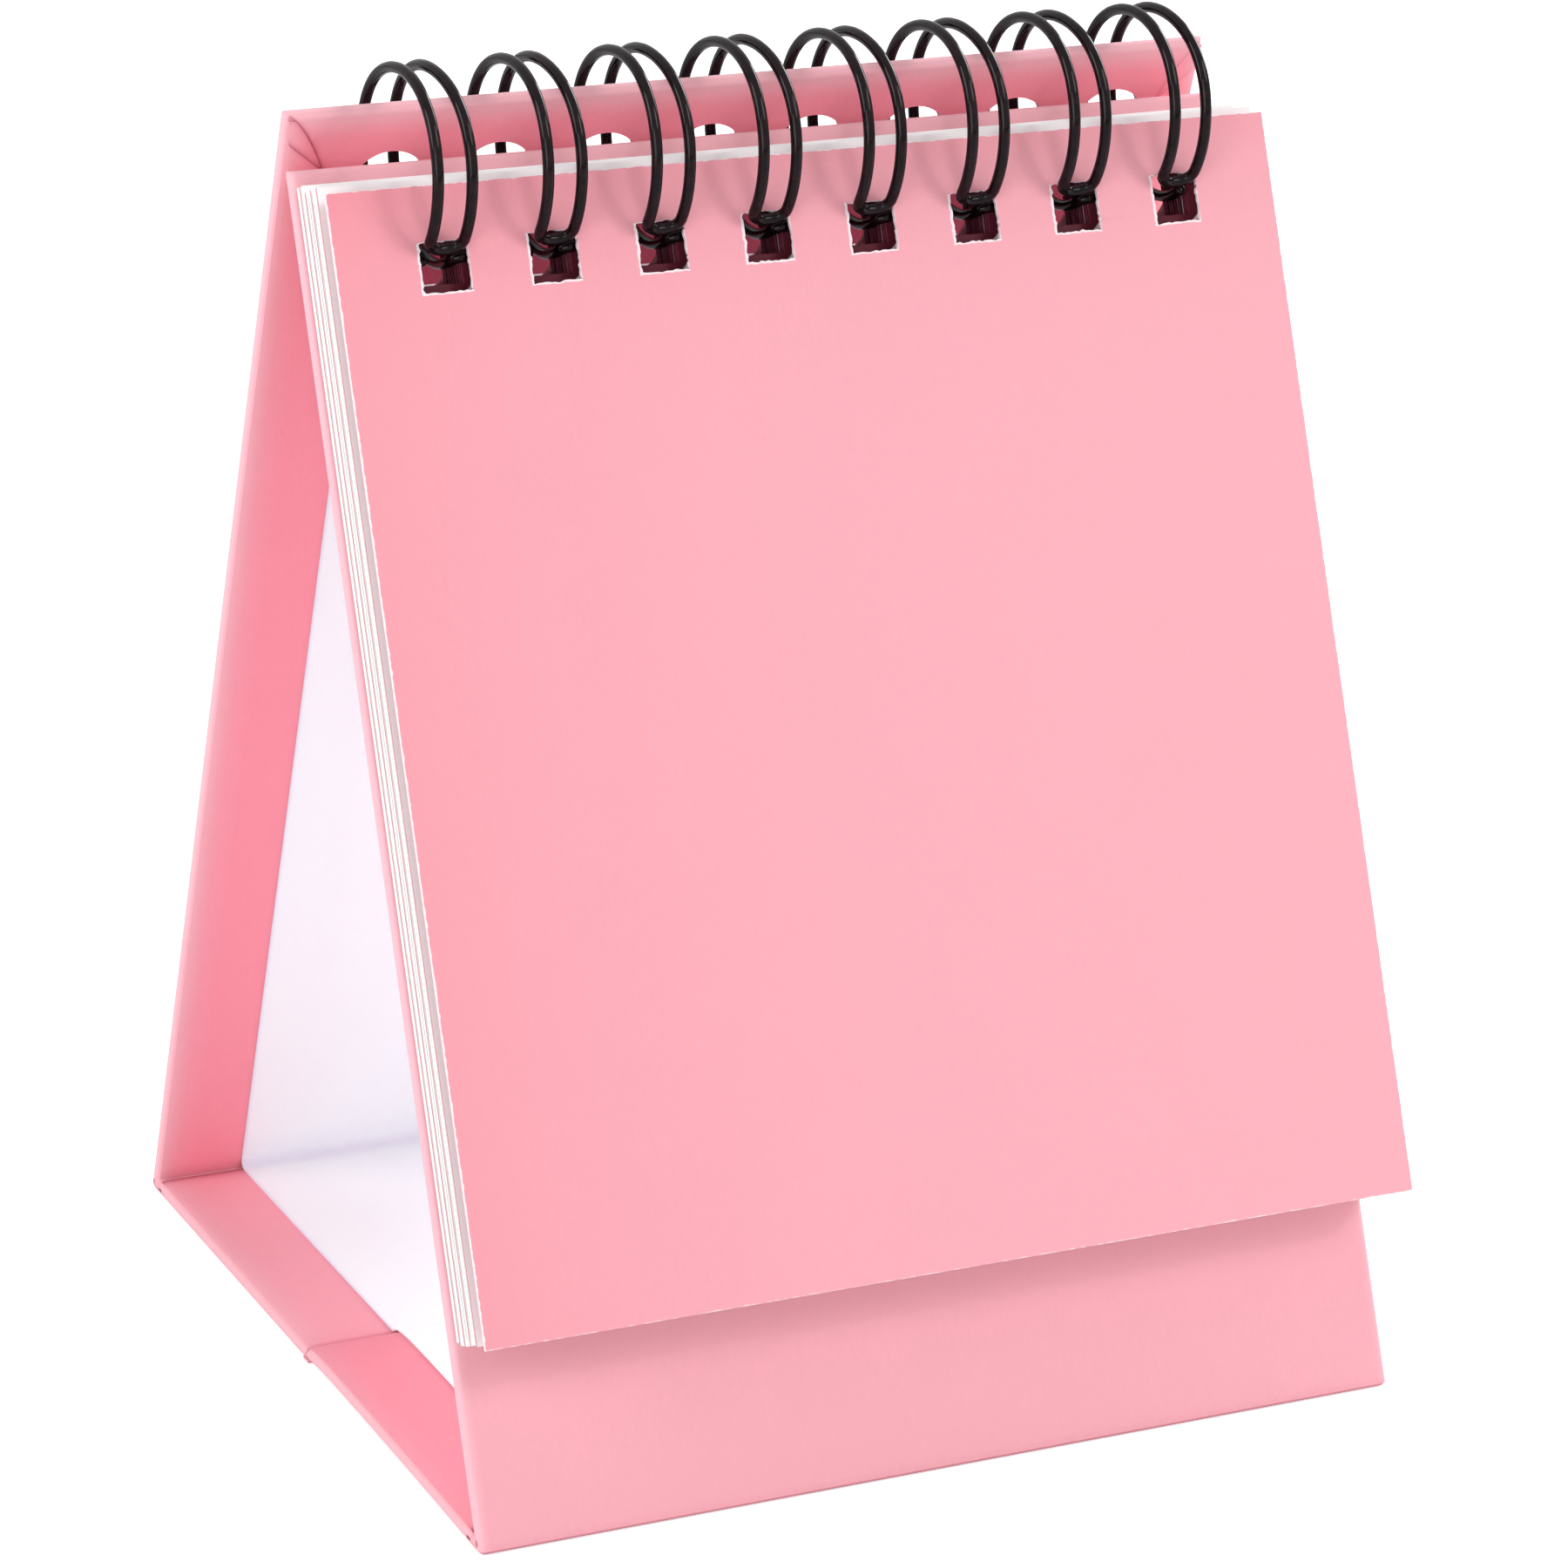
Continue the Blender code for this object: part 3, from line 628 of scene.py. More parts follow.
# The front half gets painted shade for facing away from the light, the rear half painted light for the light
# it lacks.
base_half("base_front", base_front, TURN_IN_FRONT_HALF, bowed, 0.0, 0.15)
base_half("base_rear", base_rear, TURN_IN_REAR_HALF, level, 0.35, 0.0)

# Creases
# At the two lower corners and across the middle the cover paper has no board in it, and it bends there.
# At a corner the turned-in double paper fills the fold. It follows both of the boards that it joins.
FOLD_SINK = 0.05 * MM
CREASE_BEND = 0.55 * MM
INNER_BEND = 0.6 * MM
LAP_ON_BOARD = 0.5 * MM
LAP_ON_BASE = 0.6 * MM
FOLD_COLUMNS = np.concatenate([[0, 0.03, 0.1, 0.2, 0.32, 0.45, 0.9], np.linspace(3, 34, 12)]) * MM
TABLE_SHADE_REACH = 0.22 * MM


def round_corner(first, corner, last, steps=9):
    """Points of a curve from first to last that leaves and arrives along the two sides of a corner."""
    t = np.linspace(0, 1, steps)[:, None]
    return (1 - t) ** 2 * first + 2 * t * (1 - t) * corner + t**2 * last


def fold_side(panel, base, u, base_u, s_end, base_end, bend):
    """One skin of the folded paper: down the board, round a small bend and along the base."""
    board_end = np.array([0, s_end, u]) @ panel
    flat_end = np.array([0, base_end, base_u]) @ base
    corner = board_end + panel[1] * (-base_u - board_end[2]) / panel[1][2]
    first, last = corner + bend * panel[1], corner + bend * base[1]
    return np.concatenate([[board_end], round_corner(first, corner, last), [flat_end]]), first, last


def corner_fold(side, half, panel, base):
    """The folded paper of a lower corner: the space between its outer and its inner skin, carried across,
    and thinned at both sides as the boards' edges are rounded."""
    low, high = reach_of(f"{side}_wrap", panel)
    base_low = reach_of(f"{half}_wrap", base)[0]
    ends = (low[1] + LAP_ON_BOARD, base_low[1] + LAP_ON_BASE)
    outer, first, last = fold_side(panel, base, high[2] - FOLD_SINK, -FOLD_SINK, *ends, CREASE_BEND)
    inside = FLAP + FOLD_SINK
    inner = fold_side(panel, base, low[2] + inside, base_low[2] + inside, *ends, INNER_BEND)[0]
    half_thick = 0.5 * (high[2] - low[2])
    recess = EDGE_ROUND - np.sqrt(EDGE_ROUND**2 - np.clip(EDGE_ROUND - FOLD_COLUMNS, 0, None) ** 2)
    thin = 1 - recess / half_thick
    x = np.concatenate([low[0] + FOLD_COLUMNS, (high[0] - FOLD_COLUMNS)[::-1]])
    thin = np.concatenate([thin, thin[::-1]])[:, None, None]
    middle, reach = (outer + inner) / 2, (outer - inner) / 2
    profile = np.concatenate([middle + thin * reach, (middle - thin * reach)[:, ::-1]], 1)
    points = profile + x[:, None, None] * np.array([1, 0, 0])
    obj = make_piece(f"corner_fold_{side}", points, tube_faces(*points.shape[:2]), [wrap_paper])
    settle(obj)
    place = points_of(obj, np.eye(3))
    to_side = np.minimum(place[:, 0] - low[0], high[0] - place[:, 0])
    set_attribute(obj, "rub_and_painted_light", 0.3 * np.clip(1 - to_side / EDGE_PALE_REACH, 0, 1))
    # Painted contact shadow: darker towards the table.
    set_attribute(obj, "painted_shade", np.exp(-np.clip(place[:, 2], 0, None) / TABLE_SHADE_REACH))
    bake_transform(obj)
    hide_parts("crease_front" if side == "front" else "crease_rear")


corner_fold("front", "base_front", front, base_front)
corner_fold("back", "base_rear", back, base_rear)
frame["nodes"]["crease_mid"].data.materials.clear()
frame["nodes"]["crease_mid"].data.materials.append(wrap_paper)

# Liners
# Smooth white paper pasted over the turn-ins inside, in one run from each board down across its crease.
# Over the hidden edges of the turn-ins it shows a faint step. Lilac painted shade lies in its fold and thinly
# along its side edges.
LINER = 0.12 * MM
LINER_BEND = 1.0 * MM
LINER_SHORT = 2.0 * MM
LINER_MID_LAP = 0.59 * MM
LINER_SIDE_COLUMNS = np.array([0.12, 0.35]) * MM
STEP_WIDTH = 0.25 * MM
FOLD_SHADE = 0.5 * MM
SIDE_SHADE = 0.12 * MM
LINER_WHITE = (0.955, 0.965, 1.0)
LINER_FOLD_SHADE = (0.52, 0.44, 0.66)
# Painted shade: lilac in the liner's fold and along its side edges.
liner_paper = paper("liner_paper", LINER_WHITE, 0.02, 0.03, 0.2, [("crease", LINER_FOLD_SHADE, 0.1, 0.0, 1.0)])


def liner_run(name, side, half, panel, base, turn_in, shape):
    """One liner: its path runs down the board, round the inner corner by a small bend and along the base.
    A steep S curve over the turn-in's hidden edge makes the faint step. The crease attribute is painted
    shade: it falls off exponentially from the fold, less strong to the right, and from the sides."""
    low, high = reach_of(f"{side}_wrap", panel)
    liner_high = reach_of(f"{side}_liner", panel)[1] - LINER_SHORT
    base_low, base_high = reach_of(f"{half}_wrap", base)
    inner, base_inner = low[2] - 0.6 * LINER, base_low[2] - 0.6 * LINER
    corner = np.array([0, (-base_inner - inner * panel[2][2]) / panel[1][2], inner]) @ panel
    top = np.array([0, liner_high[1], inner]) @ panel
    end = np.array([0, base_high[1] + LINER_MID_LAP, base_inner]) @ base
    first, last = corner + LINER_BEND * panel[1], corner + LINER_BEND * base[1]
    down = top + np.linspace(0, 1, 40)[:-1, None] * (first - top)
    onward = last + np.linspace(0, 1, 60)[1:, None] * (end - last)
    bend = round_corner(first, corner, last, 13)
    path = np.concatenate([down, bend, onward])
    on_base = np.concatenate([np.zeros(len(down)), np.linspace(0, 1, len(bend)), np.ones(len(onward))])
    margin = np.interp(on_base, (0, 1), (TURN_IN_REAR_HALF, turn_in))[:, None]
    beside = LINER_SIDE_COLUMNS
    x = low[0] + margin + (high[0] - low[0] - 2 * margin) * np.linspace(0, 1, 60)[None]
    x = np.concatenate([x[:, :1], x[:, :1] + beside, x[:, 1:-1], x[:, -1:] - beside[::-1], x[:, -1:]], 1)
    from_edge = np.minimum(x - low[0], high[0] - x)
    step = 0.5 * FLAP / (1 + np.exp(-(from_edge - FLAP_WIDTH) / STEP_WIDTH))
    outward = panel[2][None] * (1 - on_base[:, None]) + base[2][None] * on_base[:, None]
    points = path[:, None, :] + x[..., None] * np.array([1, 0, 0]) + step[..., None] * outward[:, None, :]
    points = points + (shape(points) - points) * on_base[:, None, None]
    obj = thin_piece(name, points, liner_paper, LINER)
    settle(obj)
    place = points_of(obj, np.eye(3))
    from_fold = np.hypot(place[:, 1] - corner[1], place[:, 2] - corner[2])
    half_width = np.abs(place[:, 0]).max()
    from_side = half_width - np.abs(place[:, 0])
    to_right = (place[:, 0] + half_width) / half_width
    in_fold = 0.95 * np.exp(-from_fold / FOLD_SHADE) * (1 - 0.35 * to_right)
    set_attribute(obj, "crease", np.maximum(in_fold, 0.45 * np.exp(-from_side / SIDE_SHADE)))
    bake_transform(obj)
    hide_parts(f"{side}_liner", f"{half}_liner")


liner_run("liner_front", "front", "base_front", front, base_front, TURN_IN_FRONT_HALF, bowed)
liner_run("liner_rear", "back", "base_rear", back, base_rear, TURN_IN_REAR_HALF, level)

# Leaves
# Twelve sheets of white paper with a row of square punched holes. They hang on the comb and lie on the
# front board in loose bunches, and their foot edges are a little ragged.
SHEET_HOLE_WIDTH = 3.7 * MM
SHEET_HOLE_HEIGHT = 3.63 * MM
SHEET_HOLE_BELOW_TOP = 4.08 * MM
LEAF_HOLE_DROP = 0.25 * MM
LEAVES = 12
BUNCH = 3
FIRST_RAISED_LEAF = 8
LEAF_RISE = 0.30 * MM
FRONT_LEAF_DROP = 0.25 * MM
LEAF_FOOT = 0.55 * MM
LEAF_RAGGED = 0.15 * MM
BUNCH_SHIFT = np.array([0.30, 0.26, 0.23, 0, 0.06, 0, -0.07, 0, 0.08, -0.08, 0, 0.08]) * MM
# Widths and strength of the painted shade round the leaves' holes; the first leaf's band is wider to the
# right and below.
HOLE_SHADE_BANDS = np.array([0.15, 0.15, 0.15, 0.15, 0.1, 0]) * (MM, MM, MM, MM, MM, 1)
FIRST_LEAF_BANDS = np.array([0.1, 0.85, 0.75, 0.1, 0.1, 0]) * (MM, MM, MM, MM, MM, 1)
SHEET_WAVE = 0.01 * MM
WAVE_LENGTH = 9 * MM
COLUMN_SPACING = 2.5 * MM
ROW_SPACING = 3 * MM
LEAF_WHITE = (0.96, 0.95, 0.955)
# Painted shade: the maroon round the holes, the maroon hole walls and every third leaf's darker edges stand
# in for the dark in the holes and between bunches.
LEAF_HOLE_SHADE = (0.105, 0.005, 0.018)
leaf_paper = paper("leaf_paper", LEAF_WHITE, 0.02, 0.04, 0.25, [("fringe_and_painted_shade", LEAF_HOLE_SHADE, 0.12, 0.02, 0.2)])
leaf_edge = paper("leaf_edge", (0.96, 0.91, 0.90), 0.05, 0.12, 0.4)
shaded_edge = paper("shaded_edge", (0.56, 0.25, 0.27), 0.05, 0.12, 0.4)
shaded_hole_wall = paper("shaded_hole_wall", (0.22, 0.030, 0.075), 0.3, 0.5, 0.5)


def graded(marks, spacing):
    """Grid lines through every mark, at most one spacing apart."""
    lines = np.unique(np.round(marks, 8))
    counts = np.maximum(1, np.ceil(np.diff(lines) / spacing)).astype(int)
    parts = [np.linspace(a, b, count + 1)[:-1] for a, b, count in zip(lines, lines[1:], counts)]
    return np.concatenate([*parts, lines[-1:]])


def punched_sheet(
    name, node, body, looks, bands, shift=0.0, drop=0.0, foot=0.0, lower=0.0, torn=0.0, cuts=4, seed=1
):
    """A sheet with square holes: a grid whose lines run along the holes' edges, without the cells in them.
    The fringe attribute falls from one at a cut edge to none at the end of its band: pale card core on the
    cover, painted shade on the leaves. The bands are the widths beside a hole (left, right, below, above),
    the width along the outline and the strength there."""
    low, high = reach_of(node, front)
    bottom, top = low[1] - foot, high[1] - drop
    half, hole_top = SHEET_HOLE_WIDTH / 2, high[1] - SHEET_HOLE_BELOW_TOP - lower
    hole_bottom = hole_top - SHEET_HOLE_HEIGHT
    to_left, to_right, below, above, edge, strength = bands
    offsets = np.concatenate([[-half - to_left, half + to_right], np.linspace(-half, half, cuts + 1)])
    columns = (HOLE_XS[:, None] + offsets).ravel()
    xs = graded([low[0], low[0] + edge, high[0] - edge, high[0], *columns], COLUMN_SPACING)
    rows = [hole_bottom - below, hole_top + above, *np.linspace(hole_bottom, hole_top, cuts + 1)]
    ss = graded([bottom, bottom + edge, top - edge, top, *rows], ROW_SPACING)
    s, x = np.meshgrid(ss, xs, indexing="ij")
    beside = x[..., None] - HOLE_XS
    dx = np.take_along_axis(beside, np.abs(beside).argmin(-1)[..., None], -1)[..., 0]
    out_x = np.where(dx < 0, (-half - dx) / to_left, (dx - half) / to_right)
    out_s = np.where(s < (hole_top + hole_bottom) / 2, (hole_bottom - s) / below, (s - hole_top) / above)
    outside = np.maximum(out_x, out_s)
    to_rim = np.minimum(np.minimum(x - low[0], high[0] - x), np.minimum(s - bottom, top - s)) / edge
    fringe_and_painted_shade = np.maximum(np.clip(1 - outside, 0, 1), strength * np.clip(1 - to_rim, 0, 1))
    rng = np.random.default_rng(seed)
    nudge = torn * rng.normal(size=(2, *x.shape)) * (np.abs(outside) < 1e-4)
    u = (low[2] + high[2]) / 2 + shift + SHEET_WAVE * np.sin(seed + x / WAVE_LENGTH)
    points = np.stack([x + nudge[0], s + nudge[1], u], -1)
    cell = outside[:-1, :-1] + outside[1:, 1:] + outside[:-1, 1:] + outside[1:, :-1]
    kept = (cell > 1e-6).ravel()
    faces = [face for face, keep in zip(sheet_faces(*x.shape), kept) if keep]
    obj = make_piece(name, points @ front, faces, looks)
    set_attribute(obj, "fringe_and_painted_shade", fringe_and_painted_shade.ravel())
    loose = bmesh.new()
    loose.from_mesh(obj.data)
    unused = [corner for corner in loose.verts if not corner.link_faces]
    bmesh.ops.delete(loose, geom=unused, context="VERTS")
    loose.to_mesh(obj.data)
    loose.free()
    settle(thicken(obj, high[2] - low[2]))
    middles, normals = faces_of(obj, front)
    rim = np.abs(normals[:, 2]) < 0.5
    in_sheet = np.minimum(middles[:, 0] - low[0], high[0] - middles[:, 0])
    in_sheet = np.minimum(in_sheet, np.minimum(middles[:, 1] - bottom, top - middles[:, 1]))
    obj.data.polygons.foreach_set("material_index", (rim * (1 + (in_sheet > MM))).astype(np.int32))
    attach(obj, body)
    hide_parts(node)
    return obj


for number in range(1, LEAVES + 1):
    rng = np.random.default_rng(100 + number)
    punched_sheet(
        f"sheet_{number:02d}",
        f"leaf_{number:02d}",
        f"leaf_{number:02d}",
        [leaf_paper, shaded_edge if number % BUNCH == 1 else leaf_edge, shaded_hole_wall],
        FIRST_LEAF_BANDS if number == 1 else HOLE_SHADE_BANDS,
        shift=BUNCH_SHIFT[number - 1],
        drop=-LEAF_RISE if number >= FIRST_RAISED_LEAF else FRONT_LEAF_DROP,
        foot=LEAF_FOOT + rng.uniform(-1, 1) * LEAF_RAGGED,
        lower=LEAF_HOLE_DROP,
        seed=number,
    )

# Wire comb
# One lacquered steel wire bent to eight twin loops, closed behind the cover. It runs out through each
# hole, round and back, then along the spine to the next pair.
RING_RADIUS = 7.4 * MM
WIRE_RADIUS = 0.43 * MM
TWIN_SPACING = 2.45 * MM
FRONT_SPREAD = 0.16 * MM
SPREAD_START = 0.62
SPREAD_RUN = 0.2
TOP_PINCH = 0.32 * MM
PINCH_PLACE = 0.61
PINCH_WIDTH = 0.12
RING_FLATNESS = 0.92
WIRE_BEND = 0.9 * MM
WIRE_TAIL = 0.3 * MM
TIP_BEND = 1.11 * MM
SPINE_AHEAD = 1.65 * MM
SEAM = 1.45 * MM
ring_centre = np.array(next(joint["pos_m"] for joint in frame["joints"] if joint["name"] == "fold"))
spine_angle = math.atan2(front[1][1], front[1][2]) - math.acos(SPINE_AHEAD / RING_RADIUS)


def bend_points(centre, start, end, radius, steps=8):
    """A quarter bend of the flat wire, without its ends."""
    turn = np.radians(np.linspace(start, end, steps + 2)[1:-1])
    return np.stack([centre[0] + radius * np.cos(turn), centre[1] + radius * np.sin(turn)], 1)


def half_twin(share):
    """Half the distance between a loop's two wires, at a share of the way round from the spine to the tip:
    even at the back, pinched by a bell curve at the top and spread in front."""
    spread = FRONT_SPREAD * np.clip((share - SPREAD_START) / SPREAD_RUN, 0, 1)
    pinch = TOP_PINCH * np.exp(-(((share - PINCH_PLACE) / PINCH_WIDTH) ** 2))
    return (TWIN_SPACING + spread - pinch) / 2


def comb_line():
    """The wire's centre line: across and round the ring when flat, then rolled up to a circle. Above the
    ring's centre it is pressed down by the cube of the height."""
    length = RING_RADIUS * (2 * math.pi - 2 * math.asin(SEAM / 2 / RING_RADIUS))
    straight = np.linspace(WIRE_BEND, length - TIP_BEND, 90)
    half = half_twin(straight / length)
    parts = []
    for number, middle in enumerate(HOLE_XS):
        left, right = middle - half[0], middle + half[0]
        tip_left, tip_right = middle - half[-1], middle + half[-1]
        if number == 0:
            parts.append([(left, 0.0), (left, WIRE_TAIL)])
        else:
            parts.append([(left - WIRE_BEND, 0.0)])
            parts.append(bend_points((left - WIRE_BEND, WIRE_BEND), -90, 0, WIRE_BEND))
        parts.append(np.stack([middle - half, straight], 1))
        parts.append(bend_points((tip_left + TIP_BEND, length - TIP_BEND), 180, 90, TIP_BEND))
        parts.append([(tip_left + TIP_BEND, length), (tip_right - TIP_BEND, length)])
        parts.append(bend_points((tip_right - TIP_BEND, length - TIP_BEND), 90, 0, TIP_BEND))
        parts.append(np.stack([middle + half[::-1], straight[::-1]], 1))
        if number == LOOPS - 1:
            parts.append([(right, WIRE_TAIL), (right, 0.0)])
        else:
            parts.append(bend_points((right + WIRE_BEND, WIRE_BEND), 180, 270, WIRE_BEND))
            parts.append([(right + WIRE_BEND, 0.0)])
    flat = np.concatenate([np.asarray(part, float) for part in parts])
    angle = spine_angle - flat[:, 1] / RING_RADIUS
    spoke = np.stack([np.zeros(len(flat)), -np.cos(angle), np.sin(angle)], 1)
    line = ring_centre + RING_RADIUS * spoke
    line[:, 0] = flat[:, 0]
    above = np.clip(line[:, 2] - ring_centre[2], 0, None)
    line[:, 2] -= (1 - RING_FLATNESS) * above**3 / RING_RADIUS**2
    return line, spoke


def lacquer():
    """Black gloss lacquer on wire, with a faint ripple and thinner brown-black patches."""
    made = bpy.data.materials.new("black_lacquer")
    made.use_nodes = True
    tree = made.node_tree
    link = tree.links.new
    shader = tree.nodes["Principled BSDF"]
    shader.inputs["Specular IOR Level"].default_value = 0.03
    shader.inputs["Coat Weight"].default_value = 0.27
    shader.inputs["Coat Roughness"].default_value = 0.04
    place = add_node(tree, "ShaderNodeTexCoord")
    ripple = add_node(tree, "ShaderNodeTexNoise", in_Scale=1500.0, in_Detail=3.0)
    colour = add_node(tree, "ShaderNodeValToRGB")
    colour.color_ramp.elements[0].position = 0.35
    colour.color_ramp.elements[0].color = (0.003, 0.0015, 0.002, 1)
    colour.color_ramp.elements[1].position = 0.75
    colour.color_ramp.elements[1].color = (0.014, 0.004, 0.006, 1)
    rough = add_node(tree, "ShaderNodeMapRange", in_To_Min=0.10, in_To_Max=0.22)
    rise = add_node(tree, "ShaderNodeBump", in_Strength=0.15, in_Distance=0.00002)
    link(place.outputs["Object"], ripple.inputs["Vector"])
    link(ripple.outputs["Fac"], colour.inputs["Fac"])
    link(ripple.outputs["Fac"], rough.inputs["Value"])
    link(ripple.outputs["Fac"], rise.inputs["Height"])
    link(colour.outputs["Color"], shader.inputs["Base Color"])
    link(rough.outputs[0], shader.inputs["Roughness"])
    link(rise.outputs["Normal"], shader.inputs["Normal"])
    return made


def comb_tube(sides=14):
    """A round tube along the wire: circles in the plane of the spoke and of the side way, with domed ends."""
    line, spoke = comb_line()
    way = np.gradient(line, axis=0)
    way /= np.linalg.norm(way, axis=1)[:, None]
    sideways = np.cross(way, spoke)
    turn = np.linspace(0, 2 * math.pi, sides + 1)[:-1]
    circle = spoke[:, None] * np.cos(turn)[None, :, None] + sideways[:, None] * np.sin(turn)[None, :, None]
    rings = line[:, None] + WIRE_RADIUS * circle
    dome = np.radians((75, 50, 25))[:, None, None]
    first = line[0] - way[0] * WIRE_RADIUS * 0.5 * np.sin(dome) + WIRE_RADIUS * np.cos(dome) * circle[0]
    last = line[-1] + way[-1] * WIRE_RADIUS * 0.5 * np.sin(dome) + WIRE_RADIUS * np.cos(dome) * circle[-1]
    return np.concatenate([first, rings, last[::-1]])


tube = comb_tube()
comb = settle(make_piece("comb_wire", tube, tube_faces(*tube.shape[:2]), [lacquer()]))
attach(comb, "comb")
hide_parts("wire_comb")

# Cover
# A sheet of pink card, white in its core, so that its cut edges and the torn rims of its punched holes
# show pale. It hangs from the comb in front of the leaves.
COVER_PINK = (0.830, 0.382, 0.440)
CORE_WHITE = (0.86, 0.74, 0.77)
# Painted shade: the deeper pink, near the top under the rings and towards the left.
COVER_SHADE_PINK = (0.800, 0.262, 0.315)
COVER_SHADE_AND_FRINGE = [("painted_cover_shade", COVER_SHADE_PINK, 0.0, 0.0, 1.0), ("fringe_and_painted_shade", CORE_WHITE, 0.9, 0.25, 0.42)]
TORN_BANDS = np.array([0.30, 0.05, 0.22, 0.06, 0.14, 0.42]) * (MM, MM, MM, MM, MM, 1)
TORN = 0.04 * MM
COVER_SHADE_FROM_TOP = 5 * MM
COVER_SHADE_FROM_LEFT = 24 * MM
cover_card = paper("cover_card", COVER_PINK, 0.05, 0.045, 0.3, COVER_SHADE_AND_FRINGE)
card_core = paper("card_core", CORE_WHITE, 0.03, 0.08, 0.4)
cover_sheet = punched_sheet(
    "cover_sheet",
    "cover",
    "cover",
    [cover_card, card_core, card_core],
    TORN_BANDS,
    torn=TORN,
    cuts=14,
    seed=7,
)
# Painted shade, strongest at the top edge and at the left edge.
place = points_of(cover_sheet, front)
from_top = place[:, 1].max() - place[:, 1]
from_left = place[:, 0] - place[:, 0].min()
painted_cover_shade = 0.45 * np.exp(-from_top / COVER_SHADE_FROM_TOP) + 0.5 * np.exp(-from_left / COVER_SHADE_FROM_LEFT)
set_attribute(cover_sheet, "painted_cover_shade", painted_cover_shade)

# Studio
# A plain pale floor. The key light, with a small bright core, comes from the upper right, a broad fill from
# the left front, and there is a soft lamp at each side.
# The background is white to the camera and in reflections.
AMBIENT = 0.50
FLOOR_LIFT = 0.50
KEY_PLACE = (0.50, -0.62, 0.72)
UPPER_AIM = (0, 0, 0.05)
LOWER_AIM = (0, 0, 0.03)


def plain_world():
    """A white world to the camera and to reflections, and a weaker one as light."""
    world = bpy.data.worlds.new("studio")
    bpy.context.scene.world = world
    world.use_nodes = True
    tree = world.node_tree
    background = tree.nodes["Background"]
    background.inputs["Color"].default_value = (1, 1, 1, 1)
    path = add_node(tree, "ShaderNodeLightPath")
    shown = add_node(tree, "ShaderNodeMath", operation="MAXIMUM")
    reflected = add_node(tree, "ShaderNodeMath", operation="MAXIMUM")
    strength = add_node(tree, "ShaderNodeMapRange", in_To_Min=AMBIENT, in_To_Max=1.0)
    tree.links.new(path.outputs["Is Glossy Ray"], reflected.inputs[0])
    tree.links.new(path.outputs["Is Transmission Ray"], reflected.inputs[1])
    tree.links.new(path.outputs["Is Camera Ray"], shown.inputs[0])
    tree.links.new(reflected.outputs[0], shown.inputs[1])
    tree.links.new(shown.outputs[0], strength.inputs["Value"])
    tree.links.new(strength.outputs[0], background.inputs["Strength"])


def floor_finish():
    """A matt pale floor that the camera sees a little brighter, so that it runs into the white background."""
    made = bpy.data.materials.new("pale_floor")
    made.use_nodes = True
    tree = made.node_tree
    shader = tree.nodes["Principled BSDF"]
    shader.inputs["Base Color"].default_value = (0.86, 0.86, 0.87, 1)
    shader.inputs["Roughness"].default_value = 0.95
    shader.inputs["Specular IOR Level"].default_value = 0.0
    shader.inputs["Emission Color"].default_value = (1, 1, 1, 1)
    glow = add_node(tree, "ShaderNodeLightPath")
    lift = add_node(tree, "ShaderNodeMath", operation="MULTIPLY", in_1=FLOOR_LIFT)
    tree.links.new(glow.outputs["Is Camera Ray"], lift.inputs[0])
    tree.links.new(lift.outputs[0], shader.inputs["Emission Strength"])
    return made


def soft_light(name, place, target, size, power):
    """A round area light that faces a target."""
    light = bpy.data.lights.new(name, "AREA")
    light.shape = "DISK"
    light.size = size
    light.energy = power
    obj = bpy.data.objects.new(name, light)
    obj.location = place
    obj.rotation_euler = (Vector(target) - Vector(place)).to_track_quat("-Z", "Y").to_euler()
    bpy.context.scene.collection.objects.link(obj)


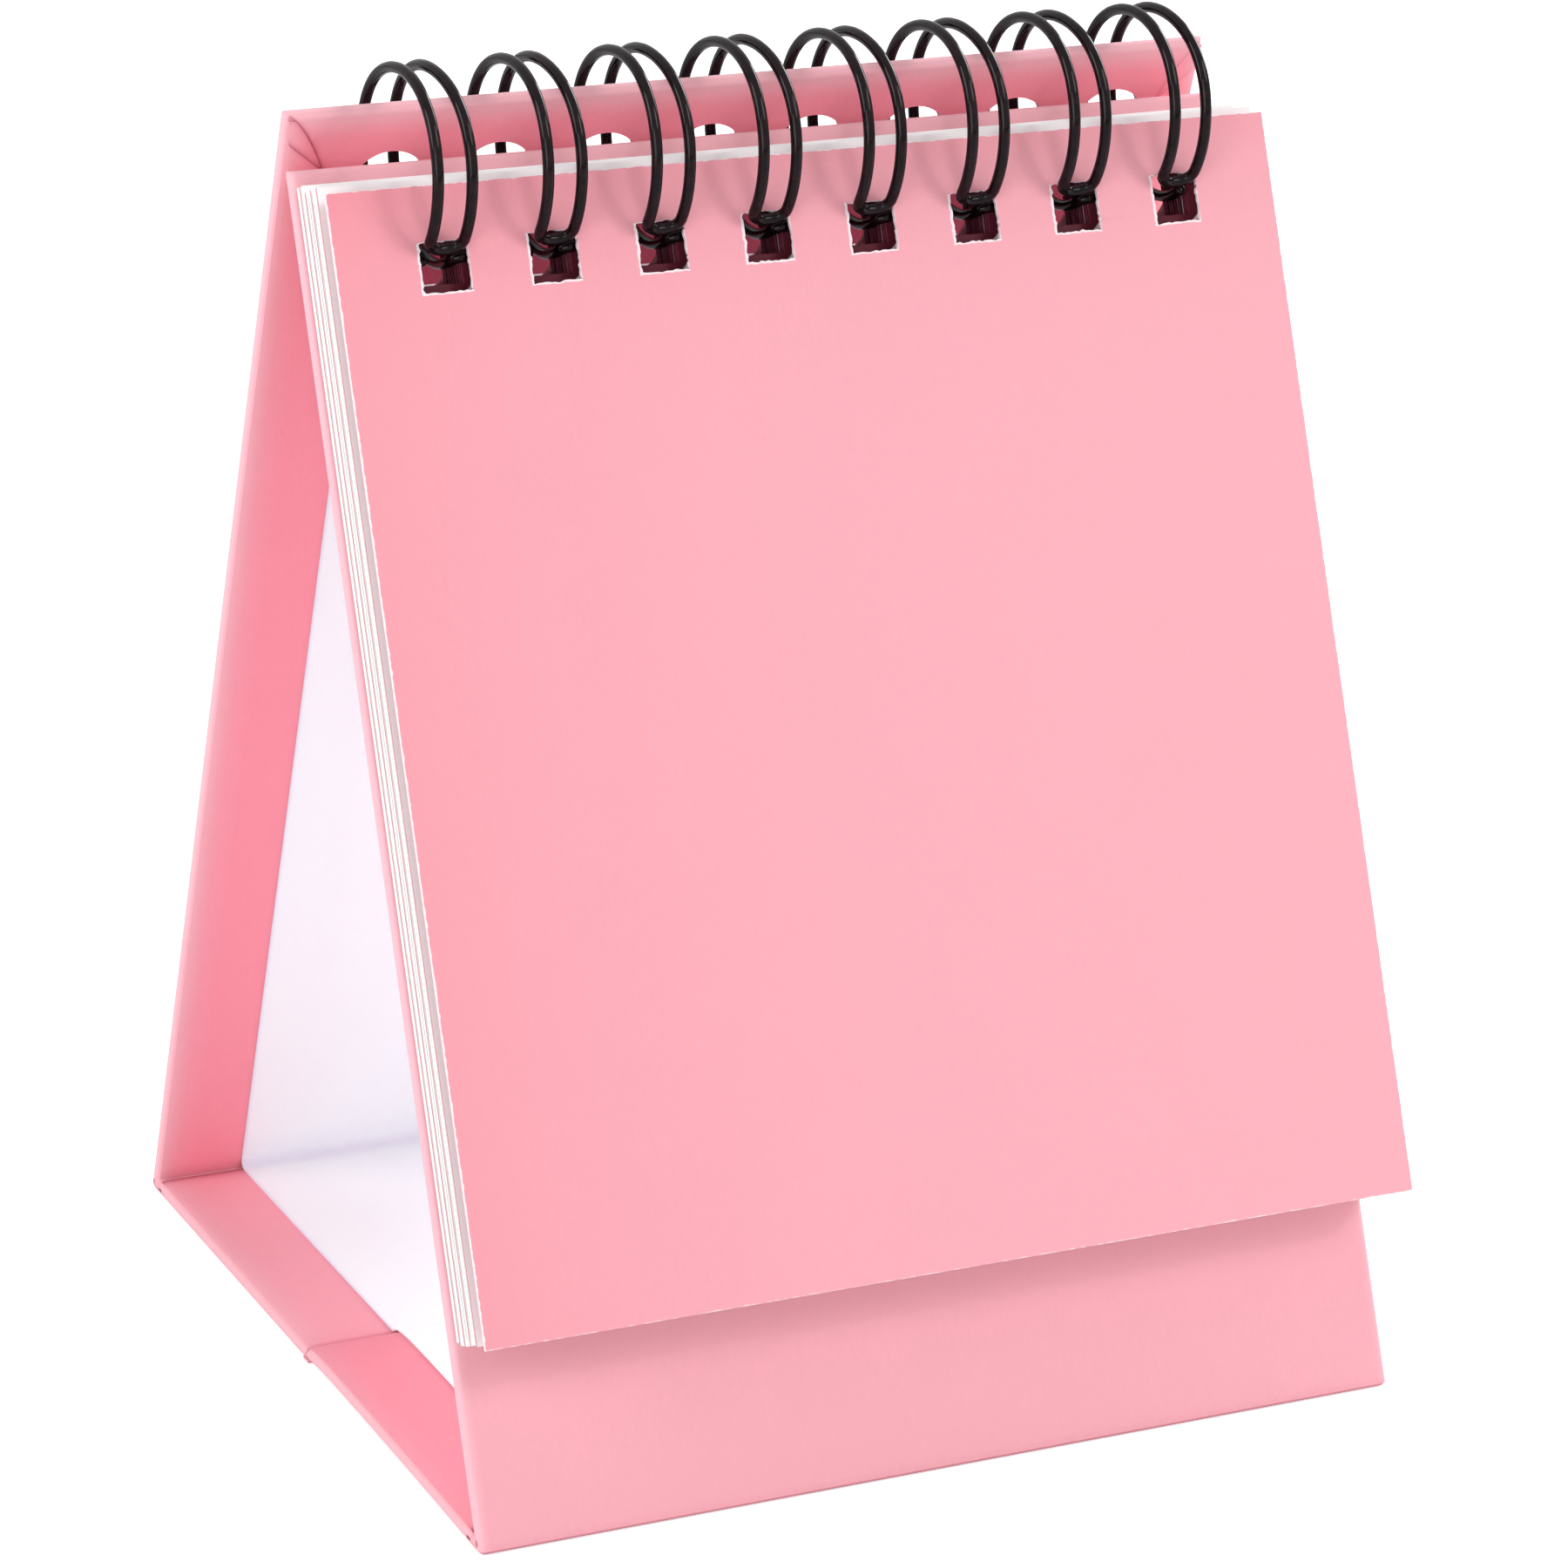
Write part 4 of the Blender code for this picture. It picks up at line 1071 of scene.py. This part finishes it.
plain_world()
bpy.ops.mesh.primitive_plane_add(size=6)
floor = bpy.context.object
floor.name = "floor"
floor.data.materials.append(floor_finish())
soft_light("key", KEY_PLACE, UPPER_AIM, 0.46, 3.15)
soft_light("fill", (-0.75, -0.62, 0.22), UPPER_AIM, 0.60, 2.9)
soft_light("glint", KEY_PLACE, UPPER_AIM, 0.10, 0.8)
soft_light("left side", (-0.80, 0.02, 0.46), LOWER_AIM, 0.50, 3.3)
soft_light("right side", (0.80, 0.30, 0.42), LOWER_AIM, 0.50, 8.0)

# Camera
# The photograph's angle: from the left front and a little above, with a slight roll. It was fitted to the
# corners, holes and loops seen there, and its axis meets the picture a little off the middle.
CAMERA_YAW = math.radians(26.094)
CAMERA_PITCH = math.radians(20.400)
CAMERA_ROLL = math.radians(2.027)
CAMERA_DISTANCE = 463.38 * MM
CAMERA_AIM = np.array([0.33, 0, 42.80]) * MM
FOCAL_PIXELS = 6982.1
CENTRE_PIXEL = (896.2, 886.1)
IMAGE_SIZE = 1800
SENSOR_WIDTH = 36
forward = (math.sin(CAMERA_YAW), math.cos(CAMERA_YAW), -math.tan(CAMERA_PITCH))
forward = np.array(forward) * math.cos(CAMERA_PITCH)
level_right = np.array([math.cos(CAMERA_YAW), -math.sin(CAMERA_YAW), 0])
upward = np.cross(level_right, forward)
turned = np.eye(4)
turned[:3, 0] = level_right * math.cos(CAMERA_ROLL) + upward * math.sin(CAMERA_ROLL)
turned[:3, 1] = upward * math.cos(CAMERA_ROLL) - level_right * math.sin(CAMERA_ROLL)
turned[:3, 2] = -forward
turned[:3, 3] = CAMERA_AIM - forward * CAMERA_DISTANCE
camera = bpy.data.objects.new("camera", bpy.data.cameras.new("camera"))
bpy.context.scene.collection.objects.link(camera)
camera.matrix_world = Matrix(turned.tolist())
camera.data.sensor_width = SENSOR_WIDTH
camera.data.lens = SENSOR_WIDTH * FOCAL_PIXELS / IMAGE_SIZE
camera.data.shift_x = (IMAGE_SIZE / 2 - CENTRE_PIXEL[0]) / IMAGE_SIZE
camera.data.shift_y = (CENTRE_PIXEL[1] - IMAGE_SIZE / 2) / IMAGE_SIZE
camera.data.clip_start = 0.01
bpy.context.scene.camera = camera
bpy.context.scene.view_settings.view_transform = "Standard"
